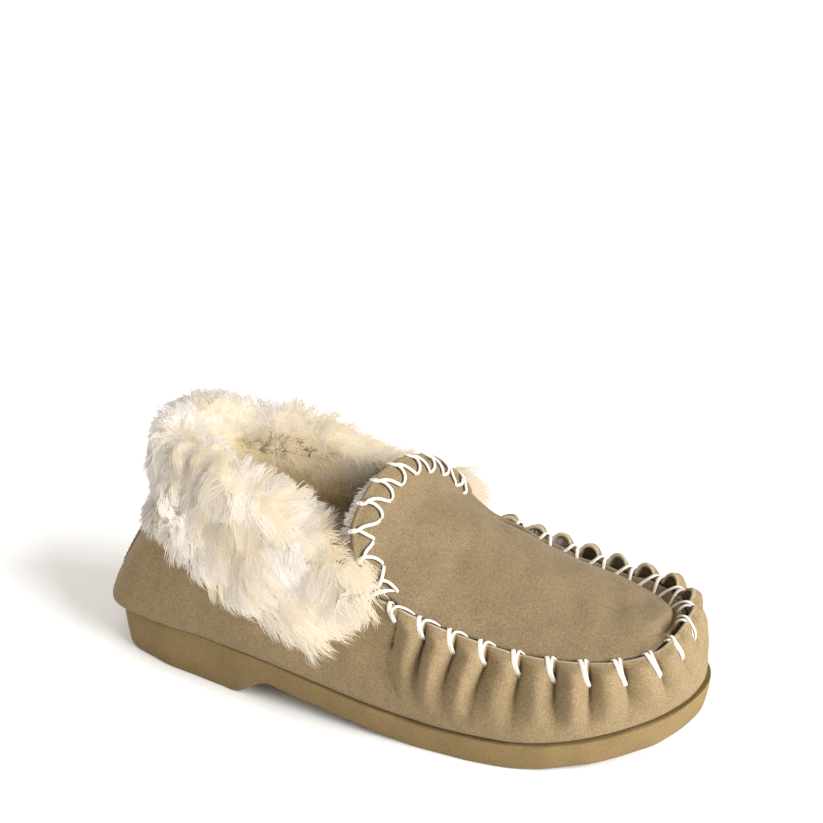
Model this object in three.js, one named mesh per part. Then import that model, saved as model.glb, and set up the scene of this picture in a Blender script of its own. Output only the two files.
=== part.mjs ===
// A right-foot sheepskin moccasin slipper: suede upper gathered round a lace-sewn apron,
// turned-out wool cuff, wool lining and a moulded sole with a raised heel block.
// Millimetres. +X points to the toe, +Y to the inner (medial) side of the foot, +Z up.
import * as THREE from "three";
import { mergeVertices } from "three/addons/utils/BufferGeometryUtils.js";

// ---- driving dimensions -------------------------------------------------------------------
const SHIFT_X = -129.64; // the shoe is drawn from its heel and then centred on the origin
const SHIFT_Y = 1.13;
const HEEL_HEIGHT = 23.6; // sole thickness under the heel
const SOLE_THICKNESS = 12.8; // under the ball of the foot
const TOE_SPRING = 9.5; // how far the toe tip lifts off the floor
const TOE_SPRING_START = 187;
const TOE_SPRING_RUN = 75;
const WEDGE_START = 72; // the sole thins from the heel block's front edge ...
const WEDGE_END = 165; // ... to here
const BLOCK_FRONT = 74; // S-shaped front face of the heel block
const BLOCK_RAMP = 9;
const SOLE_DRAFT = 1.6; // the sole narrows this much to its underside
const GAP = 0.3; // running gap between touching pieces
const SUEDE = 2.0;
const BOARD = 2.2;
const BOARD_INSET = 5.5; // from the feather edge
const FOOTBED = 7.0;
const FOOTBED_INSET = 15;
const LINING = 6.0;
const LINING_SETBACK = 5.3; // room behind the suede for the gathers
const LASTING_MARGIN = 10; // suede turned in under the insole board
const BEDDING = 0.5; // gap between sole, turned-in suede and board
const APRON_INSET = SUEDE + 0.6; // the apron butts against the inside of the wrap's top edge
const PLEAT_DEPTH = 2.6;
const LACE_WIDTH = 1.8;
const LACE_THICK = 1.1;
const LACE_LIFT = 1.2; // lace centre line above the skins
const HOLE_DROP = 10.5; // wrap holes below the raised edge
const HOLE_INSET = 5; // apron holes from the raised edge
const RIM_HOLE_INSET = 9.5; // tongue holes from the tongue's rim
const CROWN = 4.2; // how much the apron domes between its edges
const SEAM_STITCHES = 20;
const RIM_STITCHES = 11;
const CUFF_INNER = 8; // wool inside the mouth
const CUFF_OUTER = 12; // wool on the turned-down flap
const CUFF_RISE = 12.5; // wool above the leather's top edge
const CUFF_GRIP = 1.2; // the cuff stands this far off the suede it straddles

// ---- ribs: the shoe's stations from the heel, along the lateral side, round the toe and back --
// sole: the feather edge in plan. over: how far the upper stands out past it.
// top: the upper's edge, which is the mouth's top line at the rear and the lace seam in front.
// bulge: how full the wall is. lean: how far its lower part leans in towards the top edge.
const RIBS = [
  { sole: [3, 0], over: 4.8, top: [30, 0, 92], bulge: 0.6, lean: 1 },
  { sole: [8.5, -20], over: 5, top: [36, -15.5, 92.5], bulge: 0.8, lean: 1 },
  { sole: [26, -29.5], over: 3, top: [47, -24, 94], bulge: 1.6, lean: 0.6 },
  { sole: [54, -36], over: 2, top: [63, -29, 95.5], bulge: 2.6, lean: 0.2 },
  { sole: [84, -42.5], over: 1.5, top: [84, -33, 88], bulge: 3 },
  { sole: [112, -46], over: 1, top: [106, -38, 75], bulge: 3 },
  { sole: [132, -47.5], over: 0.5, top: [126, -43, 67.5], bulge: 3 },
  { sole: [148, -48.3], over: 0, top: [140, -44.5, 66.5], bulge: 3.5 },
  { sole: [163, -49], over: 0, top: [155, -43, 60.5], bulge: 4 },
  { sole: [180, -49], over: 0, top: [175, -41, 55], bulge: 4 },
  { sole: [200, -47], over: 0, top: [196, -39, 51.5], bulge: 4 },
  { sole: [218, -41], over: 0, top: [216, -35, 50.5], bulge: 4 },
  { sole: [235, -31], over: -0.5, top: [232, -28.5, 50.5], bulge: 4 },
  { sole: [249, -18], over: -1.5, top: [244, -18.5, 51.5], bulge: 3 },
  { sole: [258, -3], over: -2.5, top: [249.5, -5, 52], bulge: 2 },
  { sole: [260.5, 11], over: -2.5, top: [250.5, 9, 51.5], bulge: 2 },
  { sole: [256, 25], over: -2, top: [246.5, 23, 51], bulge: 2.6 },
  { sole: [244, 37], over: -0.5, top: [237, 32, 50.5], bulge: 4 },
  { sole: [226, 45], over: 0, top: [220, 36.5, 50.5], bulge: 4 },
  { sole: [205, 48.7], over: 0, top: [201, 39, 52], bulge: 4 },
  { sole: [183, 48.3], over: 0, top: [182, 41, 56], bulge: 4 },
  { sole: [163, 45.5], over: 0, top: [165, 42.5, 61], bulge: 4 },
  { sole: [148, 41.7], over: 0.5, top: [150, 43.5, 66.5], bulge: 3.5 },
  { sole: [128, 37.5], over: 1, top: [134, 42, 68.5], bulge: 3 },
  { sole: [108, 35], over: 1.5, top: [112, 38, 75.5], bulge: 3 },
  { sole: [84, 33.5], over: 2, top: [88, 34, 86], bulge: 3 },
  { sole: [54, 33], over: 2.5, top: [62, 30, 92.5], bulge: 2.6, lean: 0.2 },
  { sole: [26, 30.5], over: 3, top: [47, 25, 93.5], bulge: 1.6, lean: 0.6 },
  { sole: [8.5, 21], over: 5, top: [36, 16.5, 92.5], bulge: 0.8, lean: 1 },
];
const RIB_COUNT = RIBS.length;
const NEAR_CORNER = 7; // rib where the lace seam starts on the lateral side
const FAR_CORNER = 22; // and where it ends on the medial side
const TOE_NEAR = 13; // the squarish toe end of the apron runs between these ribs
const TOE_FAR = 16;
const TOE_TIP = RIB_COUNT / 2;

const V = (x, y, z) => new THREE.Vector3(x, y, z);
const UP = V(0, 0, 1);
const lerp = (a, b, t) => a + (b - a) * t;
const smooth = (a, b, x) => {
  const t = Math.min(1, Math.max(0, (x - a) / (b - a)));
  return t * t * (3 - 2 * t);
};

// ---- heights of the sole ------------------------------------------------------------------
function featherZ(x) {
  const spring = Math.min(1.1, Math.max(0, (x - TOE_SPRING_START) / TOE_SPRING_RUN));
  const wedge = smooth(WEDGE_END, WEDGE_START, x);
  return lerp(SOLE_THICKNESS, HEEL_HEIGHT, wedge) + TOE_SPRING * spring ** 1.5;
}

function undersideZ(x) {
  const ramp = smooth(BLOCK_FRONT, BLOCK_FRONT + BLOCK_RAMP, x);
  return (featherZ(x) - SOLE_THICKNESS) * ramp;
}

// ---- smooth curves through the ribs ---------------------------------------------------------
function ribCurve(pick) {
  return new THREE.CatmullRomCurve3(RIBS.map((r) => V(...pick(r))), true, "centripetal");
}
const SOLE_CURVE = ribCurve((r) => [r.sole[0], r.sole[1], 0]);
const TOP_CURVE = ribCurve((r) => r.top);
const SHAPE_CURVE = ribCurve((r) => [r.over * 10, r.bulge * 10, (r.lean ?? 0) * 10]);
const wrapT = (t) => (((t % RIB_COUNT) + RIB_COUNT) % RIB_COUNT) / RIB_COUNT;
const soleAt = (t) => SOLE_CURVE.getPoint(wrapT(t));
const topAt = (t) => TOP_CURVE.getPoint(wrapT(t));

function soleOutward(t) {
  const d = SOLE_CURVE.getPoint(wrapT(t + 0.3)).sub(SOLE_CURVE.getPoint(wrapT(t - 0.3)));
  return V(d.y, -d.x, 0).normalize();
}

function soleInset(t, inset, z) {
  const p = soleAt(t).addScaledVector(soleOutward(t), -inset);
  return V(p.x, p.y, z ?? featherZ(p.x));
}

// ---- the upper's wall: v runs from the feather edge (0) to the top edge (1) ---------------------
function wallSmooth(t, v) {
  const out = soleOutward(t);
  const shape = SHAPE_CURVE.getPoint(wrapT(t));
  const over = shape.x / 10;
  const bulge = shape.y / 10;
  const base = soleInset(t, -over);
  base.z += BEDDING;
  const top = topAt(t);
  const rise = top.z - base.z;
  const lean = top.clone().sub(base).setZ(0).multiplyScalar((shape.z / 10) * 0.36);
  const p1 = base.clone().add(lean).addScaledVector(out, bulge).addScaledVector(UP, rise * 0.4);
  const p2 = top.clone().addScaledVector(out, bulge * 1.5).addScaledVector(UP, -rise * 0.22);
  return new THREE.CubicBezierCurve3(base, p1, p2, top).getPoint(v);
}

function wallNormal(t, v) {
  const v0 = Math.max(0, v - 0.03);
  const v1 = Math.min(1, v + 0.03);
  const along = wallSmooth(t + 0.12, v).sub(wallSmooth(t - 0.12, v));
  const rising = wallSmooth(t, v1).sub(wallSmooth(t, v0));
  return along.cross(rising).normalize();
}

// The gathers: one valley at each lace hole of the wrap, fading out towards the sole.
const HOLES = seamHoles();
function seamHoles() {
  const span = FAR_CORNER - NEAR_CORNER;
  const steps = 600;
  const far = [0];
  for (let i = 1; i <= steps; i++) {
    const a = topAt(NEAR_CORNER + (span * (i - 1)) / steps);
    const b = topAt(NEAR_CORNER + (span * i) / steps);
    far.push(far[i - 1] + a.distanceTo(b));
  }
  const at = (s) => {
    const want = s * far[steps];
    let i = far.findIndex((f) => f >= want);
    i = Math.max(1, i);
    return NEAR_CORNER + (span * (i - 1 + (want - far[i - 1]) / (far[i] - far[i - 1]))) / steps;
  };
  const wrap = [];
  const apron = [];
  for (let i = 0; i < SEAM_STITCHES; i++) {
    apron.push(at((i + 0.25) / SEAM_STITCHES));
    wrap.push(at((i + 0.42) / SEAM_STITCHES));
  }
  return { wrap, apron };
}

function pleatPhase(t) {
  const w = HOLES.wrap;
  if (t < w[0] || t > w[w.length - 1]) {
    return 0;
  }
  const i = Math.max(0, w.findIndex((h, k) => k < w.length - 1 && t >= h && t <= w[k + 1]));
  return (t - w[i]) / (w[i + 1] - w[i]);
}

function wallOuter(t, v) {
  const n = wallNormal(t, v);
  const wave = Math.sin(Math.PI * pleatPhase(t)) ** 0.8;
  const fade = smooth(0.12, 0.7, v) * (1 - 0.55 * smooth(0.85, 1, v));
  return wallSmooth(t, v).addScaledVector(n, PLEAT_DEPTH * wave * fade);
}

function vAtHeight(t, z) {
  let lo = 0;
  let hi = 1;
  for (let i = 0; i < 24; i++) {
    const mid = (lo + hi) / 2;
    if (wallSmooth(t, mid).z < z) {
      lo = mid;
    } else {
      hi = mid;
    }
  }
  return (lo + hi) / 2;
}

// ---- closed solids from grids -----------------------------------------------------------------
function toGeometry(points, faces) {
  let g = new THREE.BufferGeometry();
  const xyz = points.flatMap((p) => [p.x + SHIFT_X, p.y + SHIFT_Y, p.z]);
  g.setAttribute("position", new THREE.Float32BufferAttribute(xyz, 3));
  g.setIndex(faces.flat());
  g = mergeVertices(g, 1e-3);
  const idx = g.index.array;
  const pos = g.attributes.position;
  const keep = [];
  let volume = 0;
  const a = V(0, 0, 0);
  const b = V(0, 0, 0);
  const c = V(0, 0, 0);
  for (let i = 0; i < idx.length; i += 3) {
    const [p, q, r] = [idx[i], idx[i + 1], idx[i + 2]];
    if (p === q || q === r || r === p) {
      continue;
    }
    keep.push([p, q, r]);
    a.fromBufferAttribute(pos, p);
    b.fromBufferAttribute(pos, q);
    c.fromBufferAttribute(pos, r);
    volume += a.dot(b.clone().cross(c));
  }
  const outward = volume > 0 ? keep : keep.map(([p, q, r]) => [p, r, q]);
  g.setIndex(outward.flat());
  g.computeVertexNormals();
  return g;
}

// Two matching grids of points, joined round their four borders.
function gridSolid(outer, inner) {
  const n = outer.length;
  const m = outer[0].length;
  const points = [...outer.flat(), ...inner.flat()];
  const at = (side, i, j) => side * n * m + i * m + j;
  const faces = [];
  const quad = (a, b, c, d) => faces.push([a, b, c], [a, c, d]);
  for (let i = 0; i < n - 1; i++) {
    for (let j = 0; j < m - 1; j++) {
      quad(at(0, i, j), at(0, i + 1, j), at(0, i + 1, j + 1), at(0, i, j + 1));
      quad(at(1, i, j), at(1, i, j + 1), at(1, i + 1, j + 1), at(1, i + 1, j));
    }
    quad(at(0, i, 0), at(1, i, 0), at(1, i + 1, 0), at(0, i + 1, 0));
    quad(at(0, i, m - 1), at(0, i + 1, m - 1), at(1, i + 1, m - 1), at(1, i, m - 1));
  }
  for (let j = 0; j < m - 1; j++) {
    quad(at(0, 0, j), at(0, 0, j + 1), at(1, 0, j + 1), at(1, 0, j));
    quad(at(0, n - 1, j), at(1, n - 1, j), at(1, n - 1, j + 1), at(0, n - 1, j + 1));
  }
  return toGeometry(points, faces);
}

// A closed section carried through a list of stations, with a cap at each end.
function loft(sections) {
  const n = sections.length;
  const m = sections[0].length;
  const points = sections.flat();
  const faces = [];
  for (let i = 0; i < n - 1; i++) {
    for (let j = 0; j < m; j++) {
      const k = (j + 1) % m;
      faces.push([i * m + j, i * m + k, (i + 1) * m + k]);
      faces.push([i * m + j, (i + 1) * m + k, (i + 1) * m + j]);
    }
  }
  for (const end of [0, n - 1]) {
    const ring = sections[end];
    const flat = flatten(ring);
    for (const [a, b, c] of THREE.ShapeUtils.triangulateShape(flat, [])) {
      const tri = [end * m + a, end * m + b, end * m + c];
      faces.push(end === 0 ? capFacing(flat, tri, false) : capFacing(flat, tri, true));
    }
  }
  return toGeometry(points, faces);
}

// Turns a cap's triangle so that it agrees with the ring's own direction, or against it.
function capFacing(flat, tri, withRing) {
  const area = (pts) =>
    pts.reduce((sum, p, i) => {
      const q = pts[(i + 1) % pts.length];
      return sum + p.x * q.y - p.y * q.x;
    }, 0);
  const m = flat.length;
  const agrees = area(tri.map((i) => flat[i % m])) * area(flat) > 0;
  return agrees === withRing ? tri : [tri[0], tri[2], tri[1]];
}

function flatten(ring) {
  const centre = ring.reduce((s, p) => s.add(p), V(0, 0, 0)).divideScalar(ring.length);
  const normal = V(0, 0, 0);
  ring.forEach((p, i) => {
    const q = ring[(i + 1) % ring.length];
    normal.add(p.clone().sub(centre).cross(q.clone().sub(centre)));
  });
  normal.normalize();
  const e1 = ring[0].clone().sub(centre);
  e1.addScaledVector(normal, -e1.dot(normal)).normalize();
  const e2 = normal.clone().cross(e1);
  return ring.map((p) => {
    const d = p.clone().sub(centre);
    return new THREE.Vector2(d.dot(e1), d.dot(e2));
  });
}

function offsetGrid(grid, distance) {
  const n = grid.length;
  const m = grid[0].length;
  return grid.map((row, i) =>
    row.map((p, j) => {
      const a = grid[Math.min(n - 1, i + 1)][j].clone().sub(grid[Math.max(0, i - 1)][j]);
      const b = grid[i][Math.min(m - 1, j + 1)].clone().sub(grid[i][Math.max(0, j - 1)]);
      return p.clone().addScaledVector(a.cross(b).normalize(), distance);
    }),
  );
}

// ---- flat pieces under the foot: rows run across from the lateral edge to the medial edge ------
function footprintRows() {
  const t = [0, 0.25, 0.6, 1, 1.5, 2, 2.5, 3, 3.3, 3.6, 3.72, 3.84, 3.96, 4.1, 4.5, 5, 5.6, 6.4];
  for (let k = 7.2; k < TOE_TIP - 1; k += 0.8) {
    t.push(k);
  }
  return [...t, 13.6, 14, 14.3, TOE_TIP];
}

function footprint(inset, z, across = 4) {
  return footprintRows().map((t) => {
    const near = soleInset(t, inset);
    const far = soleInset(RIB_COUNT - t, inset);
    const row = [];
    for (let j = 0; j <= across; j++) {
      const p = near.clone().lerp(far, j / across);
      row.push(V(p.x, p.y, z(p.x)));
    }
    return row;
  });
}

function outsole() {
  return gridSolid(
    footprint(0, featherZ),
    footprint(SOLE_DRAFT, undersideZ),
  );
}

function insoleBoard() {
  const low = (x) => featherZ(x) + SUEDE + 2 * BEDDING;
  return gridSolid(
    footprint(BOARD_INSET, (x) => low(x) + BOARD, 2),
    footprint(BOARD_INSET, low, 2),
  );
}

function fleeceFootbed() {
  const low = (x) => featherZ(x) + SUEDE + BOARD + 2 * BEDDING + GAP;
  return gridSolid(
    footprint(FOOTBED_INSET, (x) => low(x) + FOOTBED, 4),
    footprint(FOOTBED_INSET, low, 4),
  );
}

// ---- the suede wrap -----------------------------------------------------------------------------
const WALL_V = [0, 0.12, 0.3, 0.5, 0.7, 0.86, 1];
const BACK_GAP = 0.012; // the two ends of the wrap meet at the centre back

function wrapStations() {
  const t = [BACK_GAP, 0.25, 0.5, 0.75, 1, 1.25, 1.5, 1.75, 2, 2.5, 3, 3.5, 4, 4.5, 5, 5.5, 6];
  const w = HOLES.wrap;
  t.push(6.5, 6.95);
  w.forEach((h, i) => {
    t.push(h);
    if (i < w.length - 1) {
      t.push(lerp(h, w[i + 1], 0.25), lerp(h, w[i + 1], 0.5), lerp(h, w[i + 1], 0.75));
    }
  });
  const rear = [22.4, 23, 23.5, 24, 24.5, 25, 25.5, 26, 26.5, 27];
  return [...t, ...rear, 27.25, 27.5, 27.75, 28, 28.25, 28.5, 28.75, RIB_COUNT - BACK_GAP];
}

function vampWrap() {
  const rows = wrapStations().map((t) => {
    const margin = soleInset(t, LASTING_MARGIN);
    const feather = soleInset(t, 1.5);
    margin.z = featherZ(margin.x) + BEDDING;
    feather.z = featherZ(feather.x) + BEDDING;
    return { t, margin, feather };
  });
  const outer = rows.map(({ t, margin, feather }) => [
    margin,
    feather,
    ...WALL_V.slice(1).map((v) => wallOuter(t, v)),
  ]);
  const inner = rows.map(({ t, margin, feather }) => [
    margin.clone().addScaledVector(UP, SUEDE),
    feather.clone().addScaledVector(UP, SUEDE).addScaledVector(soleOutward(t), -1.2),
    ...WALL_V.slice(1).map((v) => wallOuter(t, v).addScaledVector(wallNormal(t, v), -SUEDE)),
  ]);
  return gridSolid(outer, inner);
}

function backSeam() {
  const strip = (lift) =>
    [-1, 1].map((side) =>
      [0.06, 0.2, 0.32, 0.42].map((v) => {
        const n = wallNormal(0, v);
        const p = wallSmooth(0, v).addScaledVector(n, lift);
        return p.add(V(0, side * 2.2, 0)).addScaledVector(n, -0.1);
      }),
    );
  return gridSolid(strip(1.7), strip(0.5));
}

function wrapLining() {
  const stations = [];
  for (let t = 0.02; t < RIB_COUNT; t += 0.66) {
    stations.push(t);
  }
  stations.push(RIB_COUNT - 0.02);
  const bottom = (t) => featherZ(soleAt(t).x) + SUEDE + BOARD + 2 * BEDDING + 2 * GAP;
  const face = (depth) =>
    stations.map((t) => {
      const z0 = bottom(t);
      const z1 = topAt(t).z - (t > 6 && t < 23 ? 14 : 19);
      return [0, 1, 2, 3].map((j) => {
        const v = vAtHeight(t, lerp(z0, z1, j / 3));
        const p = wallSmooth(t, v).addScaledVector(wallNormal(t, v), -depth);
        p.z = lerp(z0, z1, j / 3);
        return p;
      });
    });
  return gridSolid(face(LINING_SETBACK), face(LINING_SETBACK + LINING));
}

// ---- the apron: a patch between the throat line, two side seams and the squarish toe --------------
const THROAT_MID = V(147, 0, 80.5);

function throatPoint(b) {
  const near = topAt(NEAR_CORNER);
  const far = topAt(FAR_CORNER);
  const bend = new THREE.QuadraticBezierCurve3(
    near,
    THROAT_MID.clone().multiplyScalar(2).addScaledVector(near, -0.5).addScaledVector(far, -0.5),
    far,
  );
  return bend.getPoint(b);
}

function patch(side0, side1, end0, end1, crown) {
  const c00 = side0(0);
  const c10 = side0(1);
  const c01 = side1(0);
  const c11 = side1(1);
  return (a, b) => {
    const p = V(0, 0, 0);
    p.addScaledVector(side0(a), 1 - b).addScaledVector(side1(a), b);
    p.addScaledVector(end0(b), 1 - a).addScaledVector(end1(b), a);
    p.addScaledVector(c00, -(1 - a) * (1 - b)).addScaledVector(c10, -a * (1 - b));
    p.addScaledVector(c01, -(1 - a) * b).addScaledVector(c11, -a * b);
    p.z += crown * 16 * a * (1 - a) * b * (1 - b);
    return p;
  };
}

function seamEdge(t) {
  return topAt(t).addScaledVector(soleOutward(t), -APRON_INSET);
}

const apronTop = patch(
  (a) => seamEdge(lerp(NEAR_CORNER, TOE_NEAR, a)),
  (a) => seamEdge(lerp(FAR_CORNER, TOE_FAR, a)),
  (b) => throatShift(b, 0),
  (b) => seamEdge(lerp(TOE_NEAR, TOE_FAR, b)),
  CROWN,
);

// The slit between apron and tongue is wide enough at its crown for the tongue to fold forward.
function throatShift(b, towards) {
  const near = seamEdge(NEAR_CORNER);
  const far = seamEdge(FAR_CORNER);
  const raw = throatPoint(b);
  const p = V(raw.x, lerp(near.y, far.y, (raw.y - topAt(NEAR_CORNER).y) /
    (topAt(FAR_CORNER).y - topAt(NEAR_CORNER).y)), raw.z);
  p.x += lerp(near.x - topAt(NEAR_CORNER).x, far.x - topAt(FAR_CORNER).x, b);
  if (towards !== 0) {
    const height = Math.max(0, p.z - topAt(NEAR_CORNER).z);
    p.x -= 0.6 + 0.34 * height;
    p.z += 0.16 * height;
  }
  return p;
}

function patchGrid(surface, na, nb, insetA0, insetA1, insetB) {
  const grid = [];
  for (let i = 0; i <= na; i++) {
    const row = [];
    for (let j = 0; j <= nb; j++) {
      row.push(surface(lerp(insetA0, 1 - insetA1, i / na), lerp(insetB, 1 - insetB, j / nb)));
    }
    grid.push(row);
  }
  return grid;
}

function plate(grid, top, thickness, facing = 1) {
  return gridSolid(offsetGrid(grid, facing * top), offsetGrid(grid, facing * (top - thickness)));
}

const apron = () => plate(patchGrid(apronTop, 16, 8, 0, 0, 0), 0, SUEDE);
const apronLining = () => {
  const grid = patchGrid(apronTop, 10, 6, 0.04, 0.09, 0.13);
  return plate(grid, -SUEDE - GAP, LINING - 1);
};

// ---- the tongue ------------------------------------------------------------------------------------
const RIM_NEAR = curve([[130.5, -38, 74], [123.5, -36.5, 81]], [120, -31.5, 89]);
const RIM_FAR = curve([[145, 41.5, 73], [139, 38, 82]], [133, 31, 91]);
const RIM_REAR = new THREE.CatmullRomCurve3([
  V(120, -31.5, 89), V(120, -21, 96), V(121.5, -10, 100.5), V(124, 0, 102),
  V(126.5, 10, 101), V(129.5, 21, 97), V(133, 31, 91),
], false, "centripetal");

function curve(through, last) {
  const start = throatShift(through[0][1] < 0 ? 0 : 1, -1);
  start.x -= 1.2;
  start.z += 2.6;
  start.y *= 0.955;
  const points = [start, ...through.map((p) => V(...p)), V(...last)];
  return new THREE.CatmullRomCurve3(points, false, "centripetal");
}

function tongueFront(b) {
  const mid = throatShift(b, -1);
  const e = (2 * b - 1) ** 4;
  const ends = RIM_NEAR.getPoint(0).lerp(RIM_FAR.getPoint(0), b);
  return V(lerp(mid.x, ends.x, e), lerp(mid.y * 0.955, ends.y, e), lerp(mid.z, ends.z, e));
}

const tongueTop = patch(
  (a) => RIM_NEAR.getPoint(a),
  (a) => RIM_FAR.getPoint(a),
  tongueFront,
  (b) => RIM_REAR.getPoint(b),
  1,
);

const tongue = () => plate(patchGrid(tongueTop, 7, 12, 0, 0, 0), 0, SUEDE, -1);
const tongueLining = () => {
  const grid = patchGrid(tongueTop, 5, 8, 0.16, 0.1, 0.1);
  return plate(grid, -SUEDE - GAP, LINING - 1, -1);
};

// ---- laces: a flat thong carried along points that each have the skin's normal -----------------------
function thong(path) {
  const sections = path.map(({ p, n }, i) => {
    const a = path[Math.max(0, i - 1)].p;
    const b = path[Math.min(path.length - 1, i + 1)].p;
    const along = b.clone().sub(a).normalize();
    const side = along.clone().cross(n).normalize();
    const up = side.clone().cross(along).normalize();
    return [[-1, -1], [1, -1], [1, 1], [-1, 1]].map(([s, u]) =>
      p.clone().addScaledVector(side, (s * LACE_WIDTH) / 2).addScaledVector(up, (u * LACE_THICK) / 2),
    );
  });
  return loft(sections);
}

// q runs from the apron's holes (-1) over the raised edge (0) to the wrap's holes (1)
function seamSurface(t, q) {
  if (q > 0.15) {
    const v = 1 - (q * HOLE_DROP) / (topAt(t).z - featherZ(topAt(t).x) + 4);
    return { p: wallOuter(t, v).addScaledVector(wallNormal(t, v), LACE_LIFT), n: wallNormal(t, v) };
  }
  const edge = topAt(t);
  if (q > -0.15) {
    const n = UP.clone().addScaledVector(soleOutward(t), 0.35).normalize();
    return { p: edge.addScaledVector(n, LACE_LIFT + 1.2), n };
  }
  const at = (inset) => apronTop(...apronInset(t, inset));
  const p = at(HOLE_INSET * -q);
  const inward = at(HOLE_INSET * -q + 1).sub(at(HOLE_INSET * -q - 1)).normalize();
  const along = topAt(t + 0.1).sub(topAt(t - 0.1)).normalize();
  const n = inward.clone().cross(along).normalize();
  if (n.z < 0) {
    n.negate();
  }
  return { p: p.addScaledVector(n, LACE_LIFT), n };
}

function apronInset(t, inset) {
  const dA = inset / 100;
  const dB = inset / 76;
  let a = 1;
  let b = (t - TOE_NEAR) / (TOE_FAR - TOE_NEAR);
  if (t < TOE_NEAR) {
    a = (t - NEAR_CORNER) / (TOE_NEAR - NEAR_CORNER);
    b = 0;
  } else if (t > TOE_FAR) {
    a = (FAR_CORNER - t) / (FAR_CORNER - TOE_FAR);
    b = 1;
  }
  const pull = smooth(0.7, 1, a);
  return [a * (1 - dA * pull), lerp(dB, 1 - dB, b)];
}

function zigzag(holesA, holesB, surface, turn, steps) {
  const path = [];
  const count = Math.min(holesA.length, holesB.length + 1);
  for (let i = 0; i < count; i++) {
    const a = holesA[i];
    if (i > 0) {
      path.push(surface(a - turn, -0.88));
    }
    path.push(surface(a, -1), surface(a + turn, -0.88));
    const b = holesB[i];
    if (b === undefined || i === count - 1) {
      break;
    }
    steps.forEach((q) => path.push(surface(lerp(a, b, (q + 1) / 2), q)));
    path.push(surface(b - turn, 0.88), surface(b, 1), surface(b + turn, 0.88));
    const next = holesA[i + 1];
    [...steps].reverse().forEach((q) => path.push(surface(lerp(next, b, (q + 1) / 2), q)));
  }
  return path;
}

const seamLace = () => thong(zigzag(HOLES.apron, HOLES.wrap, seamSurface, 0.11, [-0.45, 0, 0.45]));

// The rim thong: s runs round the tongue's rim, q from its holes (-1) to the rim's edge (1)
function rimSurface(s, q) {
  const near = 0.2;
  const far = 0.8;
  const inset = (RIM_HOLE_INSET * (1 - q)) / 2;
  const toSquare = (d) => {
    if (s < near) {
      return [s / near, d / 70];
    }
    if (s > far) {
      return [(1 - s) / (1 - far), 1 - d / 70];
    }
    return [1, (s - near) / (far - near)];
  };
  let [a, b] = toSquare(inset);
  const rear = smooth(0.35, 1, a);
  a = lerp(a, a - inset / 34, rear);
  b = lerp(0.5, b, 1 - (inset / 36) * rear * 0.9);
  const p = tongueTop(a, b);
  const pa = tongueTop(Math.min(1, a + 0.02), b).sub(tongueTop(Math.max(0, a - 0.02), b));
  const pb = tongueTop(a, Math.min(1, b + 0.02)).sub(tongueTop(a, Math.max(0, b - 0.02)));
  const n = pa.cross(pb).normalize();
  if (n.z < 0) {
    n.negate();
  }
  return { p: p.addScaledVector(n, LACE_LIFT), n };
}

function tongueLace() {
  const holes = [];
  const edges = [];
  for (let i = 0; i < RIM_STITCHES; i++) {
    holes.push(lerp(0.1, 0.9, i / (RIM_STITCHES - 1)));
    edges.push(lerp(0.1, 0.9, (i + 0.5) / (RIM_STITCHES - 1)));
  }
  return thong(zigzag(holes, edges, rimSurface, 0.011, [-0.4, 0.3]));
}

// ---- the turned-out sheepskin cuff, which straddles the top edge of the wrap --------------------------
const CUFF_END_NEAR = 5.95; // ribs from the centre back, on the lateral side
const CUFF_END_FAR = 6.3; // and on the medial side
const FLAP_HEM = [63, 63, 65, 60, 49, 39.5, 60, 66]; // height of the flap's hem at each rib
const MOUTH_END = 4.3; // ribs where the wool inside the mouth starts to run out ...
const MOUTH_LEFT = 4.9; // ... and where the cuff lies wholly outside the leather

function cuffSection(t) {
  const k = Math.abs(t);
  const i = Math.floor(k);
  const hem = lerp(FLAP_HEM[i], FLAP_HEM[i + 1], k - i);
  const lift = smooth(MOUTH_END, MOUTH_LEFT, k);
  const leave = smooth(MOUTH_LEFT, MOUTH_LEFT + 0.5, k);
  const outer = lerp(8.5, CUFF_OUTER, smooth(0.5, 2.5, k));
  const at = (v, away) => wallSmooth(t, v).addScaledVector(wallNormal(t, v), away);
  const top = topAt(t);
  const n = wallNormal(t, 0.9);
  const out = V(n.x, n.y, 0).normalize();
  const roll = (away, rise) => top.clone().addScaledVector(out, away).addScaledVector(UP, rise);
  // a point of the wool's inner side: in the mouth, lifted over the edge, then outside it
  const inside = (mouth, lifted, outside) => mouth.lerp(lifted, lift).lerp(outside, leave);
  const vHem = vAtHeight(t, hem);
  const vMid = (vHem + 1) / 2;
  const vLeg = vAtHeight(t, top.z - 13);
  const slack = SUEDE + CUFF_GRIP;
  const edge = CUFF_GRIP;
  return [
    at(vHem, edge),
    at(vMid, edge),
    roll(edge + 0.8, -2),
    inside(roll(-SUEDE / 2, 2.2), roll(-SUEDE / 2, 2.2), roll(edge + 0.9, -0.5)),
    inside(roll(-slack - 0.9, -2), roll(-slack - 0.9, 2.4), roll(edge + 0.8, 0.8)),
    inside(at(vLeg, -slack), roll(-slack - 1.6, 2.6), roll(edge + 0.6, 2.2)),
    inside(at(vLeg, -slack - CUFF_INNER + 2), roll(-slack - 5, 3), roll(edge + 0.2, 3.5)),
    inside(roll(-SUEDE - CUFF_INNER - 2, 0), roll(-SUEDE - CUFF_INNER - 1, 4), roll(edge - 0.2, 5)),
    inside(roll(-SUEDE - CUFF_INNER, CUFF_RISE * 0.6), roll(-SUEDE - CUFF_INNER, 8), roll(edge, 7)),
    inside(roll(-2, CUFF_RISE), roll(-2, CUFF_RISE), roll(edge + 2, 9.5)),
    roll(outer * 0.6, lerp(CUFF_RISE * 0.75, 8, leave)),
    roll(outer + 1, 0),
    at(vMid, outer + lerp(2, -1, leave)),
    at(vHem, outer - lerp(1, 4, leave)),
  ];
}

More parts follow.
